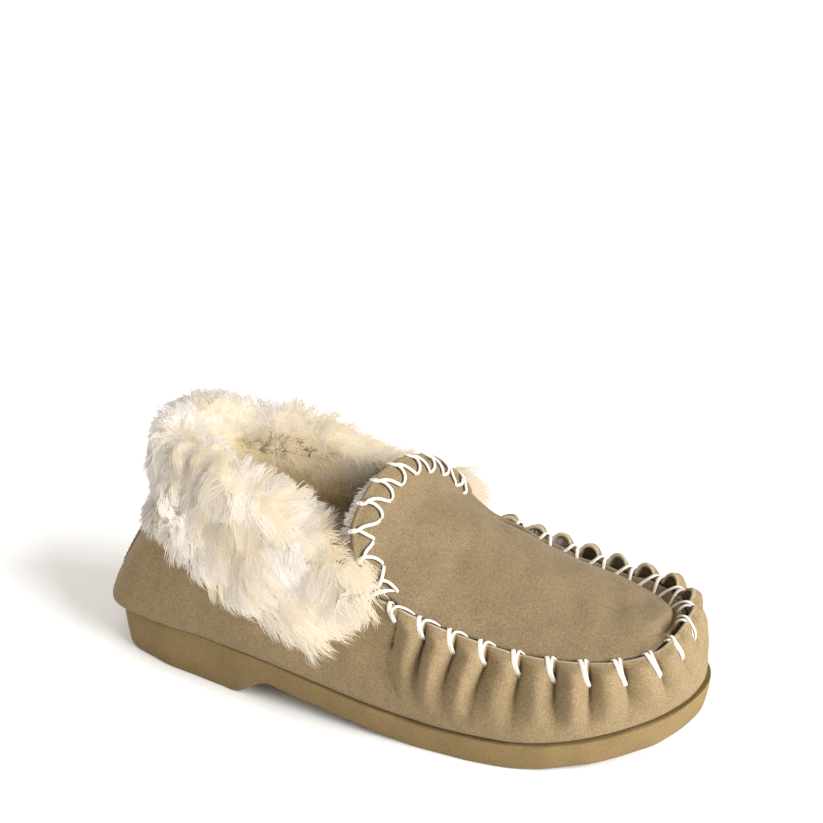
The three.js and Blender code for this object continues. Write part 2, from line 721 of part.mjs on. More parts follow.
function furCuff() {
  const sections = [];
  const steps = 36;
  for (let i = 0; i <= steps; i++) {
    sections.push(cuffSection(lerp(CUFF_END_NEAR, -CUFF_END_FAR, i / steps)));
  }
  return loft(sections);
}

// ---- assembly --------------------------------------------------------------------------------------------
function material(color, roughness) {
  return new THREE.MeshStandardMaterial({ color, roughness, metalness: 0 });
}

const group = new THREE.Group();
group.name = "moccasin";

function add(name, geometry, color, roughness) {
  const mesh = new THREE.Mesh(geometry, material(color, roughness));
  mesh.name = name;
  group.add(mesh);
}

add("outsole", outsole(), 0x9a8560, 0.75);
add("insole_board", insoleBoard(), 0xb79f7a, 0.9);
add("fleece_footbed", fleeceFootbed(), 0xe6d9bf, 1.0);
add("vamp_wrap", vampWrap(), 0xa38b69, 0.95);
add("back_seam", backSeam(), 0xa8916f, 0.95);
add("wrap_lining", wrapLining(), 0xe2d3b4, 1.0);
add("apron", apron(), 0xa38b69, 0.95);
add("apron_lining", apronLining(), 0xe2d3b4, 1.0);
add("seam_lace", seamLace(), 0xefe9dc, 0.7);
add("fur_cuff", furCuff(), 0xefe8da, 1.0);
add("tongue", tongue(), 0xa38b69, 0.95);
add("tongue_lining", tongueLining(), 0xe2d3b4, 1.0);
add("tongue_lace", tongueLace(), 0xefe9dc, 0.7);

export default group;
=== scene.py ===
import math

import bmesh
import bpy
import numpy as np
from mathutils import Matrix, Vector, kdtree
from mathutils.bvhtree import BVHTree


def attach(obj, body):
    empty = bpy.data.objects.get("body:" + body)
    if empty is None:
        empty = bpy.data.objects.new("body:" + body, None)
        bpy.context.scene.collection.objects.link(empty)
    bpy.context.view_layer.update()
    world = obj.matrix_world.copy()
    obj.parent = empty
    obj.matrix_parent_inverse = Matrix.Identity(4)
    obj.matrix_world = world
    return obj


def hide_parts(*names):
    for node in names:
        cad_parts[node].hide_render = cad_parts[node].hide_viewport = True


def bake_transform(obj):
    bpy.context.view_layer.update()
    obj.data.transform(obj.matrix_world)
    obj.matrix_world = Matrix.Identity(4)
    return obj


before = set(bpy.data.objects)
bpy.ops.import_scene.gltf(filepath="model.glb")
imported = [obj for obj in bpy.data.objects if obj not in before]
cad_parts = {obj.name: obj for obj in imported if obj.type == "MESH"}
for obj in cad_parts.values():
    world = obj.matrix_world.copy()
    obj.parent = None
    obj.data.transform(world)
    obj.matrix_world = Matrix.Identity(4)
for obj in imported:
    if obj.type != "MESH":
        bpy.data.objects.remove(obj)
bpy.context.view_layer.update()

# The shoe is drawn here as in the CAD source: millimetres, +X to the toe, +Y to the inner side,
# from the heel. to_metres moves it into the row's frame. The letters used throughout: t is a
# place round the shoe in ribs, v a place up the upper's wall from 0 to 1, s a place along the
# lace seam in stitches, and n a surface's normals.
MM = 0.001
SHIFT = np.array([-129.64, 1.13, 0.0])
HEEL_HEIGHT, SOLE_THICKNESS = 23.6, 12.8
TOE_SPRING, TOE_SPRING_START, TOE_SPRING_RUN = 9.5, 187.0, 75.0
WEDGE_START, WEDGE_END = 72.0, 165.0
BLOCK_FRONT, BLOCK_RAMP = 66.0, 19.0
SOLE_DRAFT = 1.6
SUEDE, BOARD, FOOTBED, LINING = 2.0, 2.2, 7.0, 6.0
BEDDING, GAP = 0.5, 0.3
FOOTBED_INSET, LINING_SETBACK, APRON_INSET = 15.0, 5.3, 2.6
CROWN = 4.2
STITCHES, RIM_STITCHES = 20, 11
CUFF_INNER, CUFF_OUTER, CUFF_RISE, CUFF_GRIP = 8.0, 12.0, 12.5, 1.2
CUFF_END_NEAR, CUFF_END_FAR = 5.95, 6.3
FLAP_HEM = np.array([63, 63, 65, 60, 49, 39.5, 60, 66, 66.0])

# sole x, y | how far the upper stands out past it | top edge x, y, z | fullness | lean
# as in the CAD source, but at the toe's tip the upper stands out up to 0.9 mm further
RIBS = np.array([
    [3, 0, 4.8, 30, 0, 92, 0.6, 1],
    [8.5, -20, 5, 36, -15.5, 92.5, 0.8, 1],
    [26, -29.5, 3, 47, -24, 94, 1.6, 0.6],
    [54, -36, 2, 63, -29, 95.5, 2.6, 0.2],
    [84, -42.5, 1.5, 84, -33, 88, 3, 0],
    [112, -46, 1, 106, -38, 75, 3, 0],
    [132, -47.5, 0.5, 126, -43, 67.5, 3, 0],
    [148, -48.3, 0, 140, -44.5, 66.5, 3.5, 0],
    [163, -49, 0, 155, -43, 60.5, 4, 0],
    [180, -49, 0, 175, -41, 55, 4, 0],
    [200, -47, 0, 196, -39, 51.5, 4, 0],
    [218, -41, 0, 216, -35, 50.5, 4, 0],
    [235, -31, -0.5, 232, -28.5, 50.5, 4, 0],
    [249, -18, -0.7, 244, -18.5, 51.5, 3, 0],
    [258, -3, -1.6, 249.5, -5, 52, 2, 0],
    [260.5, 11, -2.2, 250.5, 9, 51.5, 2, 0],
    [256, 25, -2, 246.5, 23, 51, 2.6, 0],
    [244, 37, -0.5, 237, 32, 50.5, 4, 0],
    [226, 45, 0, 220, 36.5, 50.5, 4, 0],
    [205, 48.7, 0, 201, 39, 52, 4, 0],
    [183, 48.3, 0, 182, 41, 56, 4, 0],
    [163, 45.5, 0, 165, 42.5, 61, 4, 0],
    [148, 41.7, 0.5, 150, 43.5, 66.5, 3.5, 0],
    [128, 37.5, 1, 134, 42, 68.5, 3, 0],
    [108, 35, 1.5, 112, 38, 75.5, 3, 0],
    [84, 33.5, 2, 88, 34, 86, 3, 0],
    [54, 33, 2.5, 62, 30, 92.5, 2.6, 0.2],
    [26, 30.5, 3, 47, 25, 93.5, 1.6, 0.6],
    [8.5, 21, 5, 36, 16.5, 92.5, 0.8, 1],
])
RIB_COUNT = len(RIBS)
NEAR_CORNER, FAR_CORNER = 7, 22  # ribs where the lace seam starts and ends
TOE_NEAR, TOE_FAR, TOE_TIP = 13, 16, 14.5
LACE_WIDTH, LACE_THICK = 1.4, 0.8
MAIN_WIDTH, BRANCH_WIDTH, INNER_WIDTH = 1.9, 1.3, 1.45  # the seam lace as it shows on each side
UP = np.array([0.0, 0.0, 1.0])


# ---- small maths -------------------------------------------------------------
def lerp(a, b, t):
    return a + (b - a) * t


def smooth(a, b, x):
    t = np.clip((x - a) / (b - a), 0, 1)
    return t * t * (3 - 2 * t)


def unit(v):
    return v / np.maximum(np.linalg.norm(v, axis=-1, keepdims=True), 1e-9)


def col(a):
    return np.asarray(a, float)[..., None]


def level(v):
    """A vector's direction in plan."""
    return unit(v * np.array([1, 1, 0]))


def spaced(*stops):
    """Places from stop to stop: (value, points up to the next stop) each, then the last value."""
    *legs, last = stops
    ends = [value for value, _ in legs[1:]] + [last]
    parts = [np.linspace(a, b, count)[:-1] for (a, count), b in zip(legs, ends)]
    return np.concatenate(parts + [[last]])


def interp_rows(at, places, rows):
    """Every column of rows, known at places, read at new places."""
    return np.stack([np.interp(at, places, column) for column in rows.T], -1)


def spline_piece(p0, p1, p2, p3, u):
    d0, d1, d2 = (
        np.sqrt(np.linalg.norm(b - a, axis=-1, keepdims=True))
        for a, b in ((p0, p1), (p1, p2), (p2, p3))
    )
    d1 = np.where(d1 < 1e-4, 1.0, d1)
    d0 = np.where(d0 < 1e-4, d1, d0)
    d2 = np.where(d2 < 1e-4, d1, d2)
    t1 = ((p1 - p0) / d0 - (p2 - p0) / (d0 + d1) + (p2 - p1) / d1) * d1
    t2 = ((p2 - p1) / d1 - (p3 - p1) / (d1 + d2) + (p3 - p2) / d2) * d1
    c2 = -3 * p1 + 3 * p2 - 2 * t1 - t2
    c3 = 2 * p1 - 2 * p2 + t1 + t2
    return p1 + t1 * u + c2 * u**2 + c3 * u**3


def closed_curve(points):
    """A closed centripetal spline; its parameter counts the points."""
    p = np.asarray(points, float)
    n = len(p)

    def at(t):
        t = np.mod(t, n)
        i = np.minimum(np.floor(t).astype(int), n - 1)
        return spline_piece(*(p[(i + k) % n] for k in (-1, 0, 1, 2)), col(t - i))

    return at


def open_curve(points):
    """An open centripetal spline from 0 to 1 along axis 0 of points."""
    p = np.asarray(points, float)
    ext = np.concatenate([[2 * p[0] - p[1]], p, [2 * p[-1] - p[-2]]])

    def at(t):
        s = np.asarray(t, float) * (len(p) - 1)
        i = np.clip(np.floor(s).astype(int), 0, len(p) - 2)
        u = (s - i).reshape(s.shape + (1,) * (p.ndim - 1))
        return spline_piece(ext[i], ext[i + 1], ext[i + 2], ext[i + 3], u)

    return at


def waves(p, size, seed):
    """Smooth noise between about -1 and 1, with features about `size` mm across."""
    count = 10
    rng = np.random.default_rng(seed)
    direction = unit(rng.normal(size=(count, 3)))
    length = size * 2 * rng.uniform(0.7, 1.5, count)
    phase = rng.uniform(0, 2 * math.pi, count)
    s = sum(
        np.sin(p @ direction[i] * (2 * math.pi / length[i]) + phase[i]) for i in range(count)
    )
    return s / math.sqrt(count)


# ---- the shoe's own surfaces -------------------------------------------------
SOLE = closed_curve(np.column_stack([RIBS[:, 0], RIBS[:, 1], 0 * RIBS[:, 0]]))
TOP = closed_curve(RIBS[:, 3:6])
SHAPE = closed_curve(RIBS[:, [2, 6, 7]] * 10)


def feather_z(x):
    spring = np.clip((x - TOE_SPRING_START) / TOE_SPRING_RUN, 0, 1.1)
    wedge = 1 - smooth(WEDGE_START, WEDGE_END, x)
    return lerp(SOLE_THICKNESS, HEEL_HEIGHT, wedge) + TOE_SPRING * spring**1.5


def underside_z(x):
    ramp = smooth(BLOCK_FRONT, BLOCK_FRONT + BLOCK_RAMP, x)
    return (feather_z(x) - SOLE_THICKNESS) * ramp


def sole_out(t):
    d = SOLE(t + 0.3) - SOLE(t - 0.3)
    return unit(np.stack([d[..., 1], -d[..., 0], 0 * d[..., 0]], -1))


def sole_inset(t, inset):
    """The sole's outline drawn in by inset mm, at the height of its upper edge."""
    p = SOLE(t) - sole_out(t) * col(inset)
    p[..., 2] = feather_z(p[..., 0])
    return p


def wall(t, v):
    """The upper's smooth wall: v from the feather edge (0) to the top edge (1)."""
    t, v = np.broadcast_arrays(np.asarray(t, float), np.asarray(v, float))
    out = sole_out(t)
    over, bulge, lean = np.moveaxis(SHAPE(t) / 10, -1, 0)
    base = sole_inset(t, -over) + UP * BEDDING
    top = TOP(t)
    rise = top[..., 2] - base[..., 2]
    plan = (top - base) * np.array([1, 1, 0])
    p1 = base + plan * col(lean * 0.36) + out * col(bulge) + UP * col(rise * 0.4)
    p2 = top + out * col(bulge * 1.5) - UP * col(rise * 0.22)
    v = col(v)
    w = 1 - v
    return base * w**3 + p1 * (3 * w * w * v) + p2 * (3 * w * v * v) + top * v**3


def wall_normal(t, v):
    t, v = np.broadcast_arrays(np.asarray(t, float), np.asarray(v, float))
    along = wall(t + 0.12, v) - wall(t - 0.12, v)
    rising = wall(t, np.minimum(1, v + 0.03)) - wall(t, np.maximum(0, v - 0.03))
    return unit(np.cross(along, rising))


def v_at_height(t, z):
    t, z = np.broadcast_arrays(np.asarray(t, float), np.asarray(z, float))
    lo, hi = np.zeros(t.shape), np.ones(t.shape)
    for _ in range(22):
        mid = (lo + hi) / 2
        low = wall(t, mid)[..., 2] < z
        lo, hi = np.where(low, mid, lo), np.where(low, hi, mid)
    return (lo + hi) / 2


def seam_table():
    t = np.linspace(NEAR_CORNER, FAR_CORNER, 1200)
    step = np.linalg.norm(np.diff(TOP(t), axis=0), axis=1)
    s = np.concatenate([[0], np.cumsum(step)])
    return t, s / s[-1] * STITCHES


SEAM_T, SEAM_S = seam_table()


def wrap_hole(i):
    """Stitches along the seam to wrap hole i."""
    i = np.asarray(i, float)
    return i + 0.42 - 0.15 * smooth(5.5, 2.5, i) + 0.1 * smooth(5.5, 8, i) * smooth(11.5, 9.5, i)


def hole_drop(s):
    """How far the wrap's holes lie below its top edge."""
    return 7.6 + 2.6 * smooth(0, 2.2, s) + 2.6 * smooth(4, 8, s) - 2.3 * smooth(9.5, 12.5, s)


HOLES = wrap_hole(np.arange(STITCHES))


def seam_t(s):
    """Rib parameter at s stitches along the seam."""
    return np.interp(s, SEAM_S, SEAM_T)


def seam_s(t):
    return np.interp(t, SEAM_T, SEAM_S)


# ---- meshes ------------------------------------------------------------------
def to_metres(points):
    return (np.asarray(points, float).reshape(-1, 3) + SHIFT) * MM


def new_object(name, points, faces, materials, slot, merge=0.0, outward=True):
    """A smooth closed mesh, its points given in mm. Points nearer than merge mm are joined."""
    mesh = bpy.data.meshes.new(name)
    mesh.from_pydata(to_metres(points).tolist(), [], [list(map(int, f)) for f in faces])
    mesh.validate()
    if outward:
        turn_outward(mesh, merge)
    mesh.polygons.foreach_set("use_smooth", np.ones(len(mesh.polygons), bool))
    for m in materials:
        mesh.materials.append(m)
    obj = bpy.data.objects.new(name, mesh)
    bpy.context.scene.collection.objects.link(obj)
    return obj


def piece(name, mesh, materials, slot, hold, *stands_for, merge=0.0):
    """A visible piece from (points, faces), passed to hold (which holds it to the shoe, or only
    bakes its transform), in place of the CAD nodes named.
    """
    obj = new_object(name, *mesh, materials, slot, merge)
    hold(obj)
    if stands_for:
        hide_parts(*stands_for)
    return obj


def ride_shoe(obj):
    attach(obj, "shoe")


def turn_outward(mesh, merge):
    bm = bmesh.new()
    bm.from_mesh(mesh)
    if merge:
        bmesh.ops.remove_doubles(bm, verts=bm.verts, dist=merge * MM)
        bmesh.ops.recalc_face_normals(bm, faces=bm.faces)
    if bm.calc_volume(signed=True) < 0:
        bmesh.ops.reverse_faces(bm, faces=bm.faces)
    bm.to_mesh(mesh)
    bm.free()


def grid_quads(n, m, base=0, wrap=False):
    i, j = np.meshgrid(np.arange(n - 1), np.arange(m if wrap else m - 1), indexing="ij")
    k = (j + 1) % m
    q = np.stack([i * m + j, (i + 1) * m + j, (i + 1) * m + k, i * m + k], -1)
    return q.reshape(-1, 4) + base


def border(n, m):
    """Indices round the border of an n by m grid, in order."""
    first = [(i, 0) for i in range(n - 1)]
    second = [(n - 1, j) for j in range(m - 1)]
    third = [(i, m - 1) for i in range(n - 1, 0, -1)]
    fourth = [(0, j) for j in range(m - 1, 0, -1)]
    return np.array(first + second + third + fourth)


EDGE_LOOPS = 3  # loops of points round a sheet's rounded edge


def slab(top, bottom, bulge):
    """Points and faces of a closed sheet between two grids, its edge rounded by `bulge` mm."""
    n, m = top.shape[:2]
    ring = border(n, m)
    inside = np.column_stack([np.clip(ring[:, 0], 1, n - 2), np.clip(ring[:, 1], 1, m - 2)])
    a = top[ring[:, 0], ring[:, 1]]
    b = bottom[ring[:, 0], ring[:, 1]]
    out = unit(a - top[inside[:, 0], inside[:, 1]])
    loops = []
    for k in range(1, EDGE_LOOPS + 1):
        f = k / (EDGE_LOOPS + 1)
        loops.append(lerp(a, b, f) + out * bulge * math.sin(math.pi * f))
    return slab_of(top, bottom, loops)


def slab_of(top, bottom, loops):
    """The same with its edge's loops of points given, from the top down."""
    n, m = top.shape[:2]
    ring = border(n, m)
    flat = ring[:, 0] * m + ring[:, 1]
    points = [top.reshape(-1, 3), bottom.reshape(-1, 3)] + loops
    faces = [grid_quads(n, m), grid_quads(n, m, n * m)[:, ::-1]]
    rows = [flat] + [2 * n * m + i * len(flat) + np.arange(len(flat)) for i in range(len(loops))]
    rows.append(flat + n * m)
    for a, b in zip(rows, rows[1:]):
        nxt_a, nxt_b = np.roll(a, -1), np.roll(b, -1)
        faces.append(np.column_stack([nxt_a, a, b, nxt_b]))
    return np.concatenate(points), np.concatenate(faces)


def grid_normals(g):
    """Normals of a sheet that lies more or less flat, turned upward."""
    n = unit(np.cross(np.gradient(g, axis=0), np.gradient(g, axis=1)))
    return -n if n[..., 2].mean() < 0 else n


TUBE_SIDES = 12
TAPER = 6  # points from a thong's end over which it narrows


def tube(path, normals, width, thick, ends=0.35):
    """A flat thong along a path: a rounded oblong section, narrowing at its two ends.
    Its width may differ from point to point."""
    along = unit(np.gradient(path, axis=0))
    side = unit(np.cross(along, normals))
    up = np.cross(side, along)
    angle = np.linspace(0, 2 * math.pi, TUBE_SIDES, endpoint=False)
    x = np.sign(np.cos(angle)) * np.abs(np.cos(angle)) ** 0.55
    y = np.sign(np.sin(angle)) * np.abs(np.sin(angle)) ** 0.75
    n = len(path)
    taper = np.minimum(1, lerp(ends, 1, np.minimum(np.arange(n), np.arange(n)[::-1]) / TAPER))
    rings = (
        path[:, None]
        + side[:, None] * (x / 2)[None, :, None] * (taper * width)[:, None, None]
        + up[:, None] * (y * thick / 2)[None, :, None] * taper[:, None, None]
    )
    return rings.reshape(-1, 3), closed_tube_faces(n, TUBE_SIDES)


def closed_tube_faces(rows, around):
    faces = [list(f) for f in grid_quads(rows, around, wrap=True)]
    faces.append(list(range(around)))
    faces.append([(rows - 1) * around + k for k in range(around - 1, -1, -1)])
    return faces


# ---- materials ---------------------------------------------------------------
def linear(r, g, b):
    """Display values 0 to 255 as scene values."""
    def one(c):
        c /= 255
        return c / 12.92 if c <= 0.04045 else ((c + 0.055) / 1.055) ** 2.4

    return (one(r), one(g), one(b), 1.0)


def start_material(name, roughness, sheen=0.0, sheen_roughness=0.5, specular=0.25):
    m = bpy.data.materials.new(name)
    m.use_nodes = True
    p = m.node_tree.nodes["Principled BSDF"]
    p.inputs["Roughness"].default_value = roughness
    p.inputs["Sheen Weight"].default_value = sheen
    p.inputs["Sheen Roughness"].default_value = sheen_roughness
    p.inputs["Specular IOR Level"].default_value = specular
    return m, p


class Surface:
    """A material and short calls for its nodes; places are millimetres in the row's frame."""

    def __init__(self, name, *settings):
        self.material, self.shader = start_material(name, *settings)
        self.tree = self.material.node_tree
        coords = self.tree.nodes.new("ShaderNodeTexCoord")
        scale = self.tree.nodes.new("ShaderNodeVectorMath")
        scale.operation = "SCALE"
        scale.inputs["Scale"].default_value = 1 / MM
        self.link(coords.outputs["Object"], scale.inputs[0])
        self.place = scale.outputs[0]

    def link(self, a, b):
        self.tree.links.new(a, b)

    def noise(self, size, detail, rough=0.55, distortion=0.0):
        """Soft noise with features about `size` mm across."""
        n = self.tree.nodes.new("ShaderNodeTexNoise")
        n.inputs["Scale"].default_value = 1.0 / size
        n.inputs["Detail"].default_value = detail
        n.inputs["Roughness"].default_value = rough
        n.inputs["Distortion"].default_value = distortion
        self.link(self.place, n.inputs["Vector"])
        return n.outputs["Fac"]

    def dots(self, size):
        """Distance from the nearest of scattered points, `size` mm apart."""
        n = self.tree.nodes.new("ShaderNodeTexVoronoi")
        n.inputs["Scale"].default_value = 1.0 / size
        self.link(self.place, n.inputs["Vector"])
        return n.outputs["Distance"]

    def ramp(self, value, stops):
        n = self.tree.nodes.new("ShaderNodeValToRGB")
        e = n.color_ramp.elements
        while len(e) < len(stops):
            e.new(0.5)
        for item, (at, colour) in zip(e, stops):
            item.position = at
            item.color = colour
        self.link(value, n.inputs["Fac"])
        return n.outputs["Color"]

    def shades(self, value, colour, low, high):
        """From a darker to a paler shade of one colour; low and high are (value, factor)."""
        return self.ramp(value, [(at, scaled(colour, factor)) for at, factor in (low, high)])

    def mix(self, a, b, factor, kind="MIX"):
        n = self.tree.nodes.new("ShaderNodeMix")
        n.data_type = "RGBA"
        n.blend_type = kind
        for name, value in (("Factor", factor), ("A", a), ("B", b)):
            target = next(s for s in n.inputs if s.name == name and s.enabled)
            if isinstance(value, (int, float, tuple)):
                target.default_value = value
            else:
                self.link(value, target)
        return next(s for s in n.outputs if s.enabled)

    def speckle(self, base, value, dark, light, factor):
        """base multiplied by a pattern; dark and light are (value, colour)."""
        return self.mix(base, self.ramp(value, [dark, light]), factor, "MULTIPLY")

    def finish(self, colour, roughness, bumps):
        """roughness: (height output, least, most) or None. bumps: (height output, strength,
        distance in mm) each."""
        self.link(colour, self.shader.inputs["Base Color"])
        if roughness:
            value, least, most = roughness
            n = self.tree.nodes.new("ShaderNodeMapRange")
            for i, x in enumerate((0.3, 0.7, least, most)):
                n.inputs[i + 1].default_value = x
            self.link(value, n.inputs[0])
            self.link(n.outputs[0], self.shader.inputs["Roughness"])
        last = None
        for height, strength, distance in bumps:
            n = self.tree.nodes.new("ShaderNodeBump")
            n.inputs["Strength"].default_value = strength
            n.inputs["Distance"].default_value = distance * MM
            self.link(height, n.inputs["Height"])
            if last is not None:
                self.link(last, n.inputs["Normal"])
            last = n.outputs["Normal"]
        self.link(last, self.shader.inputs["Normal"])
        return self.material


def scaled(colour, factor):
    return tuple(c * factor for c in colour[:3]) + (1.0,)


def grey(value):
    return (value, value, value, 1)


def suede_material(name, colour):
    """Suede: broad and hand-sized shading, the speckle of its nap, and a few pores."""
    g = Surface(name, 0.95, 0.08, 0.4, 0.1)
    broad = g.shades(g.noise(26, 2), colour, (0.3, 0.9), (0.7, 1.09))
    hand = g.shades(g.noise(7, 3, 0.6, 0.6), colour, (0.34, 0.9), (0.68, 1.1))
    base = g.mix(broad, hand, 0.45)
    nap = g.noise(0.7, 2, 0.7)
    base = g.speckle(base, nap, (0.32, (0.6, 0.56, 0.49, 1)), (0.66, grey(1.16)), 0.8)
    base = g.speckle(base, g.dots(2.3), (0.05, (0.5, 0.42, 0.34, 1)), (0.16, grey(1)), 0.45)
    bumps = [(g.noise(0.5, 2, 0.7), 0.35, 0.25), (g.noise(6, 3), 0.4, 1.0)]
    return g.finish(base, (g.noise(3, 2), 0.86, 0.99), bumps)


def edge_material(colour):
    """The cut edge and flesh side: paler fibres, rougher."""
    g = Surface("suede cut edge", 1.0, 0.2, 0.6, 0.1)
    base = g.shades(g.noise(0.9, 4, 0.7), colour, (0.25, 0.72), (0.7, 1.12))
    return g.finish(base, None, [(g.noise(0.6, 3, 0.7), 0.6, 0.4)])


def sole_material(colour):
    """Moulded foam: speckled, with small pits."""
    g = Surface("sole foam", 0.85)
    base = g.shades(g.noise(18, 3), colour, (0.3, 0.9), (0.7, 1.08))
    speck = g.noise(0.6, 3, 0.75)
    base = g.speckle(base, speck, (0.3, (0.62, 0.57, 0.48, 1)), (0.65, grey(1.12)), 0.85)
    base = g.speckle(base, g.dots(1.7), (0.04, (0.55, 0.48, 0.38, 1)), (0.13, grey(1)), 0.5)
    bumps = [(g.noise(0.7, 3, 0.7), 0.3, 0.3), (g.noise(9, 2), 0.3, 0.8)]
    return g.finish(base, (g.noise(1.6, 2), 0.74, 0.94), bumps)


def lace_material(colour):
    g = Surface("lace", 0.55, 0.1, 0.5, 0.4)
    base = g.shades(g.noise(2.2, 3, 0.6), colour, (0.25, 0.86), (0.6, 1.0))
    return g.finish(base, (g.noise(0.8, 2), 0.45, 0.7), [(g.noise(0.5, 2), 0.25, 0.15)])


def wool_material(name, colour, deep):
    """Felted wool below the strands: tufts over a darker ground, that darkness being painted shade
    between the tufts.
    """
    g = Surface(name, 1.0, 0.08, 0.6, 0.05)
    # painted shade: the ground between the tufts is darker
    tuft = g.ramp(g.noise(4.5, 4, 0.65, 1.2), [(0.3, deep), (0.62, colour)])
    broad = g.shades(g.noise(20, 2), colour, (0.3, 0.86), (0.7, 1.05))
    bumps = [(g.noise(1.0, 4, 0.75, 1.5), 0.4, 0.5), (g.noise(4.5, 4, 0.65, 1.2), 0.4, 1.2)]
    return g.finish(g.mix(tuft, broad, 0.35), None, bumps)


def board_material(colour):
    g = Surface("fibre board", 0.95)
    base = g.shades(g.noise(1.5, 5, 0.7), colour, (0.3, 0.75), (0.7, 1.1))
    return g.finish(base, None, [(g.noise(0.8, 3), 0.4, 0.3)])


SUEDE_SKIN = suede_material("suede", linear(123, 107, 82))
# painted light: the wrap's suede is a paler copy of the plug's, to brighten the fold crests on its
# sideways-facing wall
SUEDE_WRAP = suede_material("suede wrap", linear(138, 120, 91))
CUT_EDGE = edge_material(linear(156, 140, 112))
SOLE_FOAM = sole_material(linear(129, 109, 73))
LACE = lace_material(linear(208, 201, 188))
WOOL_CUFF = wool_material("cuff wool", linear(182, 170, 146), linear(164, 147, 116))
WOOL_LINING = wool_material("lining wool", linear(200, 178, 134), linear(174, 143, 92))
FIBRE_BOARD = board_material(linear(150, 130, 100))

# The value that picks these shades holds painted light besides the wool's own variation: paler
# shades go to wool that lies in shade.
STRAND_SHADES = {  # from the palest, each with the least tone at which it is used
    "snow": ((216, 206, 197), 1.55),
    "white": ((195, 187, 178), 0.75),
    "cream": ((180, 170, 157), -0.35),
    "warm": ((171, 159, 138), -1.5),
    "straw": ((168, 152, 123), -2.9),
    "gold": ((171, 149, 109), -99),
}


def strand_materials():
    made = []
    for name, (colour, _) in STRAND_SHADES.items():
        m, p = start_material("wool strands " + name, 0.9, 0.2, 0.5, 0.05)
        p.inputs["Base Color"].default_value = linear(*colour)
        made.append(m)
    return made


STRANDS = strand_materials()


MERGE = 0.02  # points nearer than this, in mm, are joined where a sheet narrows to a tip


# ---- sole --------------------------------------------------------------------
def footprint(stations, across, inset, z):
    """A grid over the sole's outline: along from the heel, and across from outer to inner."""
    near = sole_inset(stations, inset)
    far = sole_inset(RIB_COUNT - stations, inset)
    p = lerp(near[:, None], far[:, None], across[None, :, None])
    p[..., 2] = z(p[..., 0])
    return p


def make_sole():
    t = spaced((0, 46), (3.3, 40), (4.4, 130), TOE_TIP)  # closest at the heel block's front
    across = np.linspace(0, 1, 25)
    top = footprint(t, across, 0.9, feather_z)
    bottom = footprint(t, across, SOLE_DRAFT + 1.2, underside_z)
    ring = border(*top.shape[:2])
    station = np.where(ring[:, 1] == 0, t[ring[:, 0]], RIB_COUNT - t[ring[:, 0]])
    loops = []
    # inset from the feather edge and height, from the top edge down to the tread
    for inset, from_top, lift in (
        (0.25, 1, -0.2), (0.0, 1, -0.8), (0.3, 0.66, 0), (0.8, 0.33, 0),
        (SOLE_DRAFT, 0, 1.3), (SOLE_DRAFT + 0.35, 0, 0.4),
    ):
        p = sole_inset(station, inset)
        high, low = feather_z(p[:, 0]), underside_z(p[:, 0])
        rim = 0.4 * smooth(-0.4, -2, SHAPE(station)[:, 0] / 10) * (from_top == 1)
        p[:, 2] = lerp(low, high, from_top) + lift + rim
        p += sole_out(station) * col(0.22 * waves(p, 9, 3))
        p[:, 2] += 0.12 * waves(p, 5, 4)
        loops.append(p)
    mesh = slab_of(top, bottom, loops)
    piece("moulded_sole", mesh, [SOLE_FOAM], "sole_foam", ride_shoe, "outsole", merge=MERGE)


# ---- the gathered wrap -------------------------------------------------------
EDGE_STAND = 0.8  # the raised edge's height over the seam line on the inner side
TOE_OPEN = (12.9, 14.3)  # ribs where the folds' tops go from closed to open tunnels


def openness(t):
    """0 on the outer side, where the folds' tops lie shut, to 1 round the toe and inner side."""
    return smooth(*TOE_OPEN, t) * (1 - 0.45 * smooth(20.6, 21.9, t))


def edge_drop(t):
    """How far the raised edge sinks at the throat's inner corner, in front of the cuff."""
    return (3.2 * smooth(19.6, 21, t) + 5.0 * smooth(20.8, 21.6, t)) * smooth(23.4, 22.3, t)


def fold_draws(seed, low, high):
    return np.random.default_rng(seed).uniform(low, high, STITCHES + 2)


FOLD_DEPTH = fold_draws(11, 0.85, 1.15)
FOLD_SKEW = fold_draws(12, -0.07, 0.07)
FOLD_RISE = fold_draws(13, 0.82, 1.18)


def fold_slant(s):
    """How far, in stitches, a crease drifts to the heel by the time it reaches the sole."""
    return 1.3 * smooth(5.7, 2.4, s) + 0.1 - 0.2 * smooth(6, 8, s)


def crest(phase, openness_at, v):
    """A fold's height across it: creased near its top, and a soft swell further down."""
    phase = np.clip(phase, 0, 1)
    round_fold = np.sin(math.pi * phase)
    creased = 0.8 * round_fold + 0.2 * round_fold**0.3
    shut = lerp(round_fold**1.7, creased, smooth(0.3, 0.72, v))
    wide = np.clip((phase - 0.25) / 0.65, 0, 1)
    stood = np.sin(math.pi * wide) ** 0.5
    return lerp(shut, stood, openness_at)


def fold_wave(t, v):
    """Height of the folds, 0 in a crease to 1 on a crest, and which fold each point is on."""
    s = seam_s(t)
    drop = np.clip(0.8 - v, 0, 1)
    s = np.interp(s + fold_slant(s) * drop, HOLES, np.arange(STITCHES), -0.01, STITCHES)
    i = np.clip(np.floor(s), 0, STITCHES - 2).astype(int)
    inside = (s > 0) & (s < STITCHES - 1) & (t > NEAR_CORNER) & (t < FAR_CORNER)
    f = s - i
    f = f + FOLD_SKEW[i] * np.sin(math.pi * np.clip(f, 0, 1))
    w = np.where(inside, crest(f, openness(t) * smooth(0.8, 0.97, v), v), 0)
    return w, i, inside


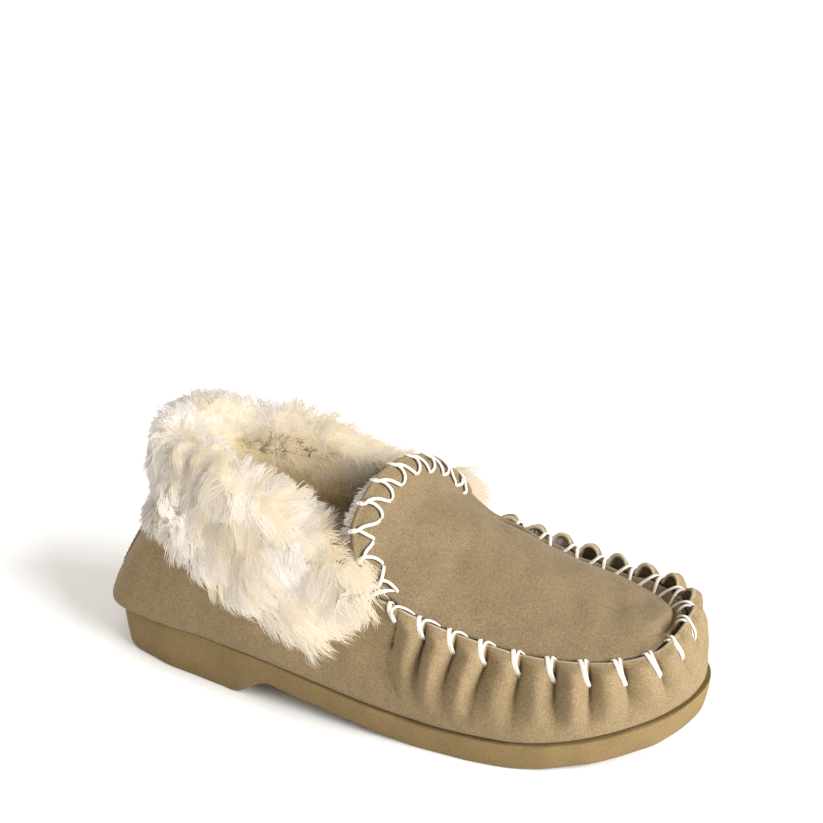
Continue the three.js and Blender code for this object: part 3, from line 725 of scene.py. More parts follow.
def wrap_skin(t, v):
    """The wrap's outer face: the wall with its folds, its foot tucked in and its edge raised."""
    t, v = np.broadcast_arrays(np.asarray(t, float), np.asarray(v, float))
    n = wall_normal(t, v)
    w, i, inside = fold_wave(t, v)
    s = seam_s(t)
    strength = 1 - 0.5 * smooth(6.4, 8.6, s) * (1 - smooth(9.5, 11.5, s))
    depth = lerp(6.8, 4.0, openness(t)) * FOLD_DEPTH[i] * strength
    fade = smooth(0.08, 0.72, v)
    shut_top = 1 - 0.72 * smooth(0.86, 1, v)
    open_top = 0.75 + 0.3 * smooth(0.76, 0.89, v) - 0.5 * smooth(0.9, 1, v)
    top = lerp(shut_top, open_top, openness(t))
    pinch = 1.0 * smooth(0.3, 0.0, w) * smooth(1, 0.8, v)
    d = depth * fade * top * w - inside * strength * fade * (pinch + 0.9 * (1 - openness(t)))
    over = SHAPE(t)[..., 0] / 10
    tuck = 1.7 * (1 - smooth(0, 0.075, v)) ** 1.5 * (1 - 0.75 * smooth(1.5, 4, over))
    tuck = tuck * (1 - 0.6 * smooth(-0.4, -1.6, over))
    p = wall(t, v) + n * col(d - tuck)
    stand = openness(t) * smooth(0.8, 1, v)
    arch = stand * w * FOLD_RISE[i]
    rise = 2.5 - 1.4 * smooth(18.2, 20.4, t) - 0.7 * smooth(20.7, 21.5, t)
    high = (EDGE_STAND - edge_drop(t)) * stand
    p = p + UP * col(high + rise * arch) + sole_out(t) * col(0.4 * arch)
    body = smooth(0.05, 0.3, v) * smooth(1, 0.9, v)
    p = p + n * col(body * (0.45 * waves(p, 15, 21) + 0.16 * waves(p, 5, 22)))
    return p


def wrap_stations():
    """Places round the wrap, 30 to each fold and bunched at its creases."""
    s = []
    for i in range(STITCHES - 1):
        f = np.linspace(0, 1, 30, endpoint=False)
        f = f - 0.04 * np.sin(2 * math.pi * f)
        s.append(lerp(HOLES[i], HOLES[i + 1], f))
    s = np.concatenate(s + [HOLES[-1:]])
    pleated = seam_t(s)
    rear = np.linspace(0.012, pleated[0], 130)[:-1]
    rest = np.linspace(pleated[-1], RIB_COUNT - 0.012, 130)[1:]
    return np.concatenate([rear, pleated, rest])


WALL_V = spaced((0, 6), (0.09, 20), (0.7, 17), 1)


def make_wrap():
    t = wrap_stations()
    turned = []
    for inset in (10, 6, 3.4):
        p = sole_inset(t, inset)
        p[:, 2] += BEDDING
        turned.append(p[:, None])
    skin = wrap_skin(t[:, None], WALL_V[None])
    outer = np.concatenate(turned + [skin], axis=1)
    n = wall_normal(t[:, None], WALL_V[None])
    inner_skin = skin - n * SUEDE
    foot = np.clip(1 - WALL_V / 0.06, 0, 1)[None, :, None]
    inner_skin = inner_skin + UP * foot * SUEDE
    inner = np.concatenate([p + UP * SUEDE for p in turned] + [inner_skin], axis=1)
    mesh, materials = slab(outer, inner, 0.7), [SUEDE_WRAP, CUT_EDGE]
    obj = piece("gathered_wrap", mesh, materials, "suede", ride_shoe, "vamp_wrap")
    cells = (outer.shape[0] - 1) * (outer.shape[1] - 1)
    slot = np.zeros(len(obj.data.polygons), np.int32)
    slot[cells:] = 1
    obj.data.polygons.foreach_set("material_index", slot)


# ---- plug and tongue ---------------------------------------------------------
THROAT_MID = np.array([147, 0, 80.5])


def seam_edge(t):
    return TOP(t) - sole_out(t) * APRON_INSET


def throat_edge(b, of_tongue):
    """The throat line from its outer corner (0) to its inner one (1), on the plug or the tongue."""
    near, far = seam_edge(np.float64(NEAR_CORNER)), seam_edge(np.float64(FAR_CORNER))
    tn, tf = TOP(np.float64(NEAR_CORNER)), TOP(np.float64(FAR_CORNER))
    b = np.asarray(b, float)
    mid = 2 * THROAT_MID - 0.5 * tn - 0.5 * tf
    c = col(b)
    raw = tn * (1 - c) ** 2 + mid * 2 * c * (1 - c) + tf * c**2
    f = (raw[..., 1] - tn[1]) / (tf[1] - tn[1])
    x = raw[..., 0] + lerp(near[0] - tn[0], far[0] - tf[0], b)
    y = lerp(near[1], far[1], f)
    z = raw[..., 2]
    if of_tongue:
        height = np.maximum(0, z - tn[2])
        x = x - 0.6 - 0.34 * height
        z = z + 0.16 * height
    return np.stack([x, y, z], -1)


def patch(side0, side1, end0, end1, crown):
    """A skin between four edge curves (a Coons patch), its middle raised by crown mm."""
    zero, one = np.float64(0), np.float64(1)
    c00, c10, c01, c11 = side0(zero), side0(one), side1(zero), side1(one)

    def at(a, b):
        a, b = np.broadcast_arrays(np.asarray(a, float), np.asarray(b, float))
        x, y = col(a), col(b)
        p = side0(a) * (1 - y) + side1(a) * y + end0(b) * (1 - x) + end1(b) * x
        p = p - c00 * (1 - x) * (1 - y) - c10 * x * (1 - y) - c01 * (1 - x) * y - c11 * x * y
        return p + UP * crown * 16 * x * (1 - x) * y * (1 - y)

    return at


apron_top = patch(
    lambda a: seam_edge(lerp(NEAR_CORNER, TOE_NEAR, a)),
    lambda a: seam_edge(lerp(FAR_CORNER, TOE_FAR, a)),
    lambda b: throat_edge(b, False),
    lambda b: seam_edge(lerp(TOE_NEAR, TOE_FAR, b)),
    CROWN,
)


def rim_side(through, last, b):
    start = throat_edge(b, True) * np.array([1, 0.955, 1]) + np.array([-1.2, 0, 2.6])
    return open_curve([start, *through, last])


RIM_NEAR = rim_side([[130.5, -38, 74], [123.5, -36.5, 81]], [120, -31.5, 89], 0.0)
RIM_FAR = rim_side([[145, 41.5, 73], [139, 38, 82]], [133, 31, 91], 1.0)
RIM_REAR = open_curve([
    [120, -31.5, 89], [120, -21, 96], [121.5, -10, 100.5], [124, 0, 102],
    [126.5, 10, 101], [129.5, 21, 97], [133, 31, 91],
])


def tongue_front(b):
    mid = throat_edge(b, True)
    e = col((2 * b - 1) ** 4)
    ends = lerp(RIM_NEAR(np.float64(0)), RIM_FAR(np.float64(0)), col(b))
    return np.stack([
        lerp(mid[..., 0], ends[..., 0], e[..., 0]),
        lerp(mid[..., 1] * 0.955, ends[..., 1], e[..., 0]),
        lerp(mid[..., 2], ends[..., 2], e[..., 0]),
    ], -1)


tongue_top = patch(RIM_NEAR, RIM_FAR, tongue_front, RIM_REAR, 1.0)


def plug_rows(b):
    """Rows from the tongue's rear rim (0) over the throat to the toe, as one flowing sheet."""
    rows = [tongue_top(a, b) for a in np.linspace(1, 0.24, 13)]
    rows += [apron_top(a, b) for a in np.linspace(0.08, 1, 24)]
    return open_curve(np.stack(rows))


CREASE = 7.6  # the plug turns up this far inside the wrap's outer edge
LIP_TOP = 0.2  # height of the turned-up margin over the seam line
PLUG_DIP = 5.4  # and of its crease below it


def turn_up(skin):
    """Round the toe and inner side the plug dips to a crease and its margin stands up."""
    t = np.linspace(NEAR_CORNER, FAR_CORNER, 700)
    edge = seam_edge(t)[:, :2]
    flat = skin.reshape(-1, 3)
    away = np.linalg.norm(flat[:, None, :2] - edge[None], axis=-1)
    nearest = away.argmin(axis=1)
    e, at = away.min(axis=1), t[nearest]
    top, out = TOP(at), sole_out(at)
    up_part = np.clip((CREASE - e) / CREASE, 0, 1)
    beyond = lerp(CREASE, e + APRON_INSET, smooth(CREASE, CREASE + 9, e))
    offset = np.where(e < CREASE, CREASE - (CREASE - 4.8) * up_part**0.8, beyond)
    plan = flat - out * col(offset - (e + APRON_INSET))
    toe = smooth(16.4, 14.8, at)
    dip = PLUG_DIP * lerp(1, 0.45, toe)
    rise = -dip * smooth(lerp(18, 12, toe), CREASE, e) + (dip + LIP_TOP) * up_part**0.85
    crown = np.where(e < CREASE, top[:, 2], flat[:, 2])
    crown = lerp(flat[:, 2], crown, smooth(CREASE + 1.5, CREASE - 1.5, e))
    moved = np.column_stack([plan[:, :2], crown + rise])
    f = openness(at) * (flat[:, 0] > 152)
    f = f * smooth(150, 162, flat[:, 0])
    return lerp(flat, moved, col(f)).reshape(skin.shape)


PLUG_WIDTH, PLUG_LENGTH = 76, 160  # roughly, for the distance of a point from the edge


def make_plug():
    """The plug and the tongue as one skin. Returns it as a tree to lay the lacing on."""
    b = spaced((0, 7), (0.06, 56), (0.88, 22), 1)
    g = spaced((0, 8), (0.05, 120), (0.92, 26), 1)
    skin = plug_rows(b)(g)
    n = grid_normals(skin)
    edge = np.minimum.reduce([
        np.broadcast_to(np.minimum(b, 1 - b)[None] * PLUG_WIDTH, skin.shape[:2]),
        np.broadcast_to((g * PLUG_LENGTH)[:, None], skin.shape[:2]),
        np.broadcast_to(((1 - g) * PLUG_LENGTH)[:, None], skin.shape[:2]),
    ])
    calm = smooth(0, 9, edge)
    wave = 0.75 * waves(skin, 17, 31) + 0.3 * waves(skin, 7, 32)
    skin = skin + n * col(calm * wave)
    roll = np.sin(math.pi * np.clip(g / 0.2, 0, 1)) ** 1.2
    skin = skin + n * col(2.3 * roll[:, None] * (smooth(0, 0.25, b) * smooth(1, 0.8, b))[None])
    corner = np.exp(-(((g - 0.37) / 0.07) ** 2))
    skin = skin - UP * col(2.4 * corner[:, None] * smooth(0.72, 1, b)[None])
    skin = turn_up(skin)
    # the rim's hem turns up a little, and the plug's margin turns down into the seam
    rim = smooth(0.36, 0.3, g)[:, None] * smooth(3.5, 0, edge)
    shut = np.ones(skin.shape[:2]) * smooth(0.72, 0.5, b)[None] * smooth(0.99, 0.96, g)[:, None]
    margin = smooth(0.3, 0.36, g)[:, None] * smooth(2.6, 0, edge) * shut
    skin = skin + n * col(0.7 * rim - 0.3 * margin)
    n = grid_normals(skin)
    mesh = slab(skin, skin - n * SUEDE, 0.8)
    piece("plug_and_tongue", mesh, [SUEDE_SKIN], "suede", cross_throat, "apron", "tongue")
    quads = grid_quads(*skin.shape[:2]).tolist()
    return BVHTree.FromPolygons(skin.reshape(-1, 3).tolist(), quads)


def cross_throat(obj):
    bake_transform(obj)


# ---- linings, board and footbed ----------------------------------------------
def footbed_base(x):
    return feather_z(x) + SUEDE + BOARD + 2 * BEDDING + GAP


def footbed_top():
    """Stations along, stations across, and the footbed's upper face."""
    t = np.linspace(0.02, TOE_TIP - 0.02, 110)
    across = np.linspace(0, 1, 31)
    top = footprint(t, across, FOOTBED_INSET, lambda x: footbed_base(x) + FOOTBED - 1.2)
    crown = np.sin(math.pi * across) ** 0.5
    top[..., 2] += 1.0 * crown[None] + 0.6 * waves(top, 5, 41) * crown[None]
    return t, across, top


def make_footbed():
    t, across, top = footbed_top()
    bottom = footprint(t, across, FOOTBED_INSET, footbed_base)
    obj = piece(
        "fleece_insole", slab(top, bottom, 1.0), [WOOL_LINING], "lining_wool", ride_shoe,
        "fleece_footbed", merge=MERGE,
    )


LINING_BELOW_TOP = 13.5
LINING_CHAMFER = 0.42  # share by which the lining thins at its upper edge
LINING_INNER = LINING_SETBACK + LINING - 0.8  # its inner face, in from the upper's outer skin


def lining_face(t, depth, chamfer=0.0):
    """The lining's face depth mm inside the wall, from the footbed up."""
    bottom = feather_z(SOLE(t)[:, 0]) + SUEDE + BOARD + 2 * BEDDING + 2 * GAP
    high = TOP(t)[:, 2] - LINING_BELOW_TOP
    rise = np.linspace(0, 1, 14)[None]
    z = lerp(bottom[:, None], high[:, None], rise)
    v = v_at_height(t[:, None], z)
    thinner = 1 - chamfer * smooth(0.78, 1, rise)
    p = wall(t[:, None], v) - wall_normal(t[:, None], v) * col(depth * thinner)
    p[..., 2] = z
    return p


LINING_STATIONS = np.linspace(0.02, RIB_COUNT - 0.02, 260)  # open by a hair at the back seam


def make_lining():
    t = LINING_STATIONS
    outer = lining_face(t, LINING_SETBACK)
    inner = lining_face(t, LINING_INNER, LINING_CHAMFER)
    n = wall_normal(t[:, None], 0.5)
    inner = inner - n * col(0.8 + 0.8 * waves(inner, 5, 43))
    mesh = slab(outer, inner, 0.5)
    piece("wool_lining", mesh, [WOOL_LINING], "lining_wool", ride_shoe, "wrap_lining")


def patch_slab(surface, a0, a1, b_inset, near_top, thick, seed, dips=False):
    """A lining near_top mm under a surface, over a from a0 to a1 and b in from both sides."""
    a = np.linspace(a0, a1, 50)
    b = np.linspace(b_inset, 1 - b_inset, 50)
    g = surface(a[:, None], b[None])
    if dips:
        g = turn_up(g)
    n = grid_normals(g)
    top = g - n * near_top
    bottom = g - n * (near_top + thick)
    bottom = bottom + n * col(0.7 * waves(bottom, 5, seed))
    return slab(top, bottom, 1.2)


def make_apron_lining():
    mesh = patch_slab(apron_top, 0.04, 0.87, 0.17, SUEDE + 1.2, LINING - 2, 44, dips=True)
    piece("plug_lining", mesh, [WOOL_LINING], "lining_wool", ride_shoe, "apron_lining")


def make_tongue_lining():
    mesh = patch_slab(tongue_top, 0.16, 0.93, 0.08, SUEDE + 0.8, LINING - 1.2, 45)
    piece("tongue_wool", mesh, [WOOL_CUFF], "lining_wool", cross_throat, "tongue_lining")


BACK_STITCHES = 11


def make_back_seam():
    """The strip over the join at the centre back, with a row of stitches down each edge."""
    rows = 40
    v = np.linspace(0.05, 0.43, rows)
    side = np.linspace(-1, 1, 15)
    centre = wall(np.zeros(rows), v)
    n = wall_normal(np.zeros(rows), v)
    grid = centre[:, None] + np.array([0, 1, 0]) * (side * 2.5)[None, :, None]
    sag = 0.9 * side**2
    ridge = 1.15 - 0.45 * np.exp(-((side / 0.13) ** 2))
    top = grid + n[:, None] * (ridge - sag)[None, :, None]
    bottom = grid + n[:, None] * (0.1 - sag)[None, :, None]
    mesh = slab(top, bottom, 0.3)
    piece("back_seam_strip", mesh, [SUEDE_SKIN], "suede", ride_shoe, "back_seam")
    points, faces = [], []
    for edge in (-1, 1):
        for k in range(BACK_STITCHES):
            at = np.linspace(2 + k * 3.3, 4 + k * 3.3, 6)
            base, up = (interp_rows(at, np.arange(rows), g) for g in (centre, n))
            arch = 0.75 + 0.25 * np.sin(np.linspace(0, math.pi, 6))
            path = base + up * col(arch) + np.array([0, edge * 1.6, 0])
            stitch, stitch_faces = tube(path, up, 0.5, 0.4, 0.7)
            first = len(points) * len(stitch)
            faces += [[i + first for i in face] for face in stitch_faces]
            points.append(stitch)
    mesh = np.concatenate(points), faces
    piece("back_seam_thread", mesh, [CUT_EDGE], "suede", ride_shoe)


# ---- laces -------------------------------------------------------------------
# the lace's course over the raised edge: q, distance inside the wrap's outer edge, height
OVER_SHUT = np.array([
    [-1.0, 6.0, -1.0], [-0.6, 5.0, -0.6], [-0.25, 3.4, 0.2], [0.0, 1.6, 1.2], [0.12, 0.3, 1.0],
    [0.25, -0.6, -0.4],
])
OVER_OPEN = np.array([
    [-1.0, 9.6, -4.7], [-0.86, 8.0, -4.7], [-0.72, 6.9, -3.6], [-0.3, 4.6, 0.2],
    [-0.15, 3.8, 1.4], [0.0, 2.2, 2.3], [0.12, 0.5, 2.1], [0.25, -0.7, 0.6],
])


def seam_place(s, q, lift):
    """A lace point: q -1 at the plug's holes, 0 over the raised edge, 1 at the wrap's holes."""
    t = seam_t(s)
    tall = TOP(t)[..., 2] - feather_z(TOP(t)[..., 0]) + 4
    v = 1 - np.clip(q, 0, None) * hole_drop(s) / tall
    wall_n = wall_normal(t, v)
    outside = wrap_skin(t, v) + wall_n * col(lift)
    f = openness(t)
    shut, opened = (interp_rows(q, over[:, 0], over[:, 1:]) for over in (OVER_SHUT, OVER_OPEN))
    off, high = np.moveaxis(lerp(shut, opened, col(f)), -1, 0)
    out = sole_out(t)
    high = high - 0.55 * edge_drop(t) * smooth(-1, 0, q)
    inward = col(smooth(-0.1, -0.6, q) * (1 - smooth(-0.8, -0.95, q)) * f)
    inner_n = unit(UP * (1 - 0.85 * inward) - out * inward)
    inside = TOP(t) - out * col(off) + UP * col(high) + inner_n * col(np.minimum(lift - 0.9, 0))
    over = col(smooth(0.1, 0.34, q))
    return lerp(inside, outside, over), unit(lerp(inner_n, wall_n, over))


# (stitches from the wrap's hole, q, height over the skin in mm), for each side of the shoe
OUTER_STITCH = [
    (-0.36, -0.7, -2.4), (-0.29, -0.3, -0.6), (-0.25, 0.0, 0.7), (-0.22, 0.25, 0.8),
    (-0.13, 0.58, 0.8), (-0.04, 0.88, 0.7), (0.0, 1.02, -0.4), (0.01, 1.08, -2.0),
    (0.0, 0.96, 0.0), (-0.03, 0.84, 1.2), (-0.09, 0.62, 1.3), (-0.13, 0.42, 1.3),
    (-0.12, 0.2, 1.2), (-0.06, 0.06, 1.0), (0.01, 0.0, 0.8), (0.08, -0.14, -0.2),
    (0.42, -0.7, -2.4),
]
BRANCH = {13: 0.2, 14: 0.7, 15: 1.0}  # share of the branch's reach at those points
BRANCH_REACH = [0.5, 0.32, 0.2, 0.08, -0.06, -0.12, -0.14, -0.15, -0.16, -0.16]
FIRST_INNER = 10  # from this stitch on the lace crosses over the open tunnels
INNER_STITCH = [
    (-0.21, -1.04, -1.4), (-0.19, -0.98, 0.6), (-0.16, -0.86, 0.9), (-0.11, -0.55, 0.9),
    (-0.06, -0.15, 0.9), (-0.03, 0.15, 0.9), (0.0, 0.62, 0.8), (0.005, 1.04, -0.5),
    (0.02, 1.1, -2.2), (0.04, 0.95, -0.1), (0.06, 0.6, 0.8), (0.10, 0.25, 0.9),
    (0.16, 0.0, 0.9), (0.28, -0.22, 0.9), (0.47, -0.5, 0.9), (0.64, -0.82, 0.9),
    (0.74, -1.0, 0.2),
]


def smooth_path(path, times):
    for _ in range(times):
        inner = path[:-2] * 0.25 + path[1:-1] * 0.5 + path[2:] * 0.25
        path = np.concatenate([path[:1], inner, path[-1:]])
    return path


def refine(keys, times):
    """Six points for each of a lace's key points, smoothed so many times."""
    run = np.linspace(0, len(keys) - 1, len(keys) * 6)
    return smooth_path(interp_rows(run, np.arange(len(keys)), keys), times)


def lace_path():
    """The seam lace's centre line, its normals and its width."""
    keys = []
    for i in range(STITCHES):
        reach = BRANCH_REACH[i] if i < FIRST_INNER else 0.0
        stitch = OUTER_STITCH if i < FIRST_INNER else INNER_STITCH
        for k, (s, q, lift) in enumerate(stitch):
            width = INNER_WIDTH
            if i < FIRST_INNER:
                s += reach * BRANCH.get(k, 0.0)
                width = MAIN_WIDTH if k < 9 else BRANCH_WIDTH
            keys.append((s + HOLES[i], q, lift, width))
    keys = np.array(keys[:-5])
    keys[:, 0] = np.clip(keys[:, 0], 0.02, STITCHES - 0.02)
    fine = refine(keys, 8)
    path, n = seam_place(fine[:, 0], fine[:, 1], fine[:, 2])
    return smooth_path(path, 5), unit(smooth_path(n, 12)), fine[:, 3]


def make_seam_lace():
    mesh = tube(*lace_path(), LACE_THICK)
    piece("seam_lacing", mesh, [LACE], "lace", ride_shoe, "seam_lace")


def rim_line():
    """The tongue's rim from its outer corner round the back to its inner corner, by length."""
    u = np.linspace(0, 1, 50)
    near_seam = apron_top(np.linspace(0.075, 0.02, 8), np.float64(0))
    line = np.concatenate([near_seam, RIM_NEAR(u)[3:-1], RIM_REAR(u)[:-1], RIM_FAR(1 - u)])
    line = smooth_path(line, 12)
    step = np.linalg.norm(np.diff(line, axis=0), axis=1)
    run = np.concatenate([[0], np.cumsum(step)])
    return run, line


def rim_frame(distance):
    """Points on the tongue's rim, the way in from it along the skin, and the skin's normals."""
    run, line = rim_line()
    at = np.clip(distance, 0, run[-1])
    p, ahead, behind = (interp_rows(at + step, run, line) for step in (0, 0.8, -0.8))
    along = unit(ahead - behind)
    to_middle = tongue_top(np.float64(0.45), np.float64(0.5)) - p
    n = unit(np.cross(along, to_middle))
    n = np.where(n[:, 2:] < 0, -n, n)
    inward = np.cross(n, along)
    flip = np.sum(inward * to_middle, axis=1, keepdims=True) < 0
    return p, np.where(flip, -inward, inward), n


# (stitches from a hole, distance inside the rim, height over the skin), all but the first in mm
RIM_V = [
    (0.0, 9.6, -1.4), (0.02, 9.6, 0.2), (0.07, 9.0, 0.9), (0.15, 7.9, 1.1), (0.22, 6.4, 1.2),
    (0.25, 4.7, 1.2), (0.23, 2.8, 1.2), (0.17, 0.9, 1.1), (0.12, -0.6, 0.2),
    (0.09, -1.1, -1.3), (0.07, -1.1, -1.5), (0.06, -0.8, 0.4), (0.12, 0.8, 1.7),
    (0.27, 2.6, 1.9), (0.50, 5.0, 1.2), (0.75, 7.4, 1.0), (0.94, 9.2, 0.6),
]
HOLE_SHIFT = {1: -0.5, 2: -0.5, 3: -0.22}  # the first holes lie nearer the corner, in stitches
RIM_CROSSING = 10  # the place in RIM_V where the lace has gone round the rim


def make_tongue_lace(plug_tree):
    run, _ = rim_line()
    first, last = 1.5, run[-1] - 3.0
    step = (last - first) / RIM_STITCHES
    keys = []
    for i in range(1, RIM_STITCHES):
        for k, (s, d, lift) in enumerate(RIM_V):
            shift = HOLE_SHIFT.get(i if k <= RIM_CROSSING else i + 1, 0.0)
            s += shift * np.clip((d - 0.8) / 8, 0, 1)
            keys.append((first + (i + s) * step, d, lift))
    keys = np.array(keys + [(last, 9.2, -1.2)])
    fine = refine(keys, 4)
    p, inward, n = rim_frame(fine[:, 0])
    near_corner = smooth(first + 2.2 * step, first, fine[:, 0])
    at_top = smooth(first + 5 * step, first + 7.5 * step, fine[:, 0])
    shorter = (1 - 0.72 * near_corner) * (1 - 0.26 * at_top)
    fine[:, 1] = np.where(fine[:, 1] > 0, fine[:, 1] * shorter, fine[:, 1])
    p = p + inward * col(fine[:, 1])
    for i in range(len(p)):
        if fine[i, 1] > 0.5:
            found = plug_tree.find_nearest(Vector(p[i]))
            p[i] = found[0]
            n[i] = np.array(found[1]) * (1 if found[1][2] > 0 else -1)
    n = unit(smooth_path(n, 12))
    p = p + n * col(fine[:, 2])
    path = smooth_path(p, 5)
    mesh = tube(path, n, LACE_WIDTH, LACE_THICK)
    piece("tongue_lacing", mesh, [LACE], "lace", cross_throat, "tongue_lace")
    make_tail(path[4])


def make_tail(start):
    """The lace's free tail at the outer corner, lying over the wool."""
    u = np.linspace(0, 1, 16)
    arch = UP * (3.2 * np.sin(math.pi * u) ** 0.7)[:, None]
    path = start + np.array([-13.0, -8.5, -4.2]) * u[:, None] + arch
    n = np.tile(unit(np.array([0.1, -0.5, 0.85])), (len(u), 1))
    mesh = tube(path, n, MAIN_WIDTH, LACE_THICK)
    piece("lace_tail", mesh, [LACE], "lace", ride_shoe)


# ---- the wool cuff -----------------------------------------------------------
MOUTH_END, MOUTH_LEFT = 4.3, 4.9


def cuff_section(t):
    """Fourteen points round the cuff at each rib parameter, as in the CAD source."""
    k = np.abs(t)
    i = np.floor(k).astype(int)
    hem = lerp(FLAP_HEM[i], FLAP_HEM[i + 1], k - i)
    lift, leave = smooth(MOUTH_END, MOUTH_LEFT, k), smooth(MOUTH_LEFT, MOUTH_LEFT + 0.5, k)
    outer = lerp(8.5, CUFF_OUTER, smooth(0.5, 2.5, k))
    top = TOP(t)
    n = wall_normal(t, 0.9)
    out = level(n)

    def at(v, away):
        return wall(t, v) + wall_normal(t, v) * col(away + 0 * t)

    def roll(away, rise):
        return top + out * col(away + 0 * t) + UP * col(rise + 0 * t)

    def inside(mouth, lifted, outside):
        return lerp(lerp(mouth, lifted, col(lift)), outside, col(leave))

    v_hem = v_at_height(t, hem)
    v_mid = (v_hem + 1) / 2
    v_leg = v_at_height(t, top[:, 2] - 13)
    slack, edge, deep = SUEDE + CUFF_GRIP, CUFF_GRIP, SUEDE + CUFF_INNER
    rim = roll(-SUEDE / 2, 2.2)
    return np.stack([
        at(v_hem, edge),
        at(v_mid, edge),
        roll(edge + 0.8, -2),
        inside(rim, rim, roll(edge + 0.9, -0.5)),
        inside(roll(-slack - 0.9, -2), roll(-slack - 0.9, 2.4), roll(edge + 0.8, 0.8)),
        inside(at(v_leg, -slack), roll(-slack - 1.6, 2.6), roll(edge + 0.6, 2.2)),
        inside(at(v_leg, -slack - CUFF_INNER + 2), roll(-slack - 5, 3), roll(edge + 0.2, 3.5)),
        inside(roll(-deep - 2, 0), roll(-deep - 1, 4), roll(edge - 0.2, 5)),
        inside(roll(-deep, CUFF_RISE * 0.6), roll(-deep, 8), roll(edge, 7)),
        inside(roll(-2, CUFF_RISE), roll(-2, CUFF_RISE), roll(edge + 2, 9.5)),
        roll(outer * 0.6, lerp(CUFF_RISE * 0.75, 8, leave)),
        roll(outer + 1, 0),
        at(v_mid, outer + lerp(2, -1, leave)),
        at(v_hem, outer - lerp(1, 4, leave)),
    ], axis=1)


SECTION_POINTS = 14
CUFF_ROWS, CUFF_AROUND = 250, 96  # the felted body's grid
WOOL_INSET = 4.6  # the felted body lies this far inside the wool's outer surface


def cuff_grid(rows, around):
    """The cuff's plain surface: t of its rows, w round its section, and the points."""
    t = np.linspace(CUFF_END_NEAR, -CUFF_END_FAR, rows)
    section = np.moveaxis(cuff_section(t), 1, 0)
    w = np.linspace(0, SECTION_POINTS, around, endpoint=False)
    grid = closed_curve(section.reshape(SECTION_POINTS, -1))(w)
    return t, w, grid.reshape(around, rows, 3).transpose(1, 0, 2)


def closed_normals(g):
    """Outward normals of a grid whose rows are closed loops."""
    a = np.gradient(g, axis=0)
    b = np.roll(g, -1, axis=1) - np.roll(g, 1, axis=1)
    n = unit(np.cross(b, a))
    outward = ((g - g.mean(axis=1, keepdims=True)) * n).sum(-1).mean() > 0
    return n if outward else -n


def cuff_body():
    """The felted body: the CAD cuff drawn in by the length of its free wool, and lumpy."""
    t, w, g = cuff_grid(CUFF_ROWS, CUFF_AROUND)
    n = closed_normals(g)
    hairy = smooth(4.6, 6.2, w) * (1 - smooth(13.0, 13.9, w))
    body = g - n * col(WOOL_INSET * hairy[None])
    body = body + n * col(hairy[None] * (1.2 * waves(g, 9, 51) + 0.5 * waves(g, 3.5, 52)))
    hem = np.exp(-(((w - 13.3) / 0.9) ** 2)) + np.exp(-(((w - 0.1) / 0.6) ** 2))
    front_hem = 3.0 + 3.5 * smooth(3.7, 4.5, np.abs(t))
    body = body + UP * col(front_hem[:, None] * np.clip(hem, 0, 1)[None])
    body = fill_out(t, w, body)
    t, body = rounded_ends(t, body)
    return t, w, body, closed_normals(body)


def fill_out(t, w, body):
    """The wool's own fullness beyond the CAD's plain roll: high round the heel, thick into the
    mouth behind the ankle, and raised beside the tongue."""
    out = level(wall_normal(t, 0.9))
    k = np.abs(t)
    outer_side = t > 0
    heel = smooth(2.6, 1.0, k) * np.where(outer_side, 1.0, 0.8)
    ankle = smooth(4.3, 2.4, k) * np.where(outer_side, 1.0, smooth(2.6, 0.8, k))
    front = smooth(4.5, 5.4, k) * np.where(outer_side, 1.0, 0.3)
    crown = smooth(6.8, 8.6, w) * smooth(12.3, 10.4, w)
    mouth = smooth(5.2, 7.4, w) * smooth(10.2, 8.6, w)
    up = (5.5 * heel + 4.5 * ankle + 4.5 * front)[:, None] * crown[None]
    beside = smooth(3.2, 4.9, k) * outer_side
    inward = (5.0 * ankle + 3.0 * front + 8.5 * beside)[:, None] * mouth[None]
    back = (3.0 * heel)[:, None] * (smooth(9.0, 10.2, w) * smooth(12.6, 11.0, w))[None]
    low = (3.0 * heel)[:, None] * smooth(11.8, 13.2, w)[None]
    return body + UP * col(up) + out[:, None] * col(back - inward - low)


NOSE = 5.0  # how far the flaps' rounded ends reach past the last rib
DOME_ROWS = 9


def rounded_ends(t, body):
    """Closes each end of the cuff with a dome."""
    angle = np.linspace(0.15, 1, DOME_ROWS) * math.pi / 2
    ends = []
    for at, before in ((0, 6), (-1, -7)):
        ring = body[at]
        middle = ring.mean(axis=0)
        onward = unit(middle - body[before].mean(axis=0))
        dome = middle + (ring - middle)[None] * np.cos(angle * 0.97)[:, None, None]
        dome = dome + onward * NOSE * np.sin(angle)[:, None, None]
        into = -level(wall_normal(t[at], 0.9))
        dome = dome + into * 5.5 * (1 - np.cos(angle))[:, None, None]
        ends.append(dome)
    whole = np.concatenate([ends[0][::-1], body, ends[1]])
    t = np.concatenate([np.full(DOME_ROWS, t[0]), t, np.full(DOME_ROWS, t[-1])])
    return t, whole


def make_cuff_felt(body):
    mesh = body.reshape(-1, 3), closed_tube_faces(*body.shape[:2])
    obj = piece("cuff_felt", mesh, [WOOL_CUFF], "cuff_wool", ride_shoe, "fur_cuff")
    obj.visible_shadow = False  # light passes between the fibres


STRAND_ROOT, STRAND_WIDE, STRAND_FLAT = 1.15, 1.3, 0.45  # its section, as shares of its radius
STRAND_RADIUS = (0.13, 0.22)
LOOSE_SHARE = 0.05  # strands that stray from their tuft


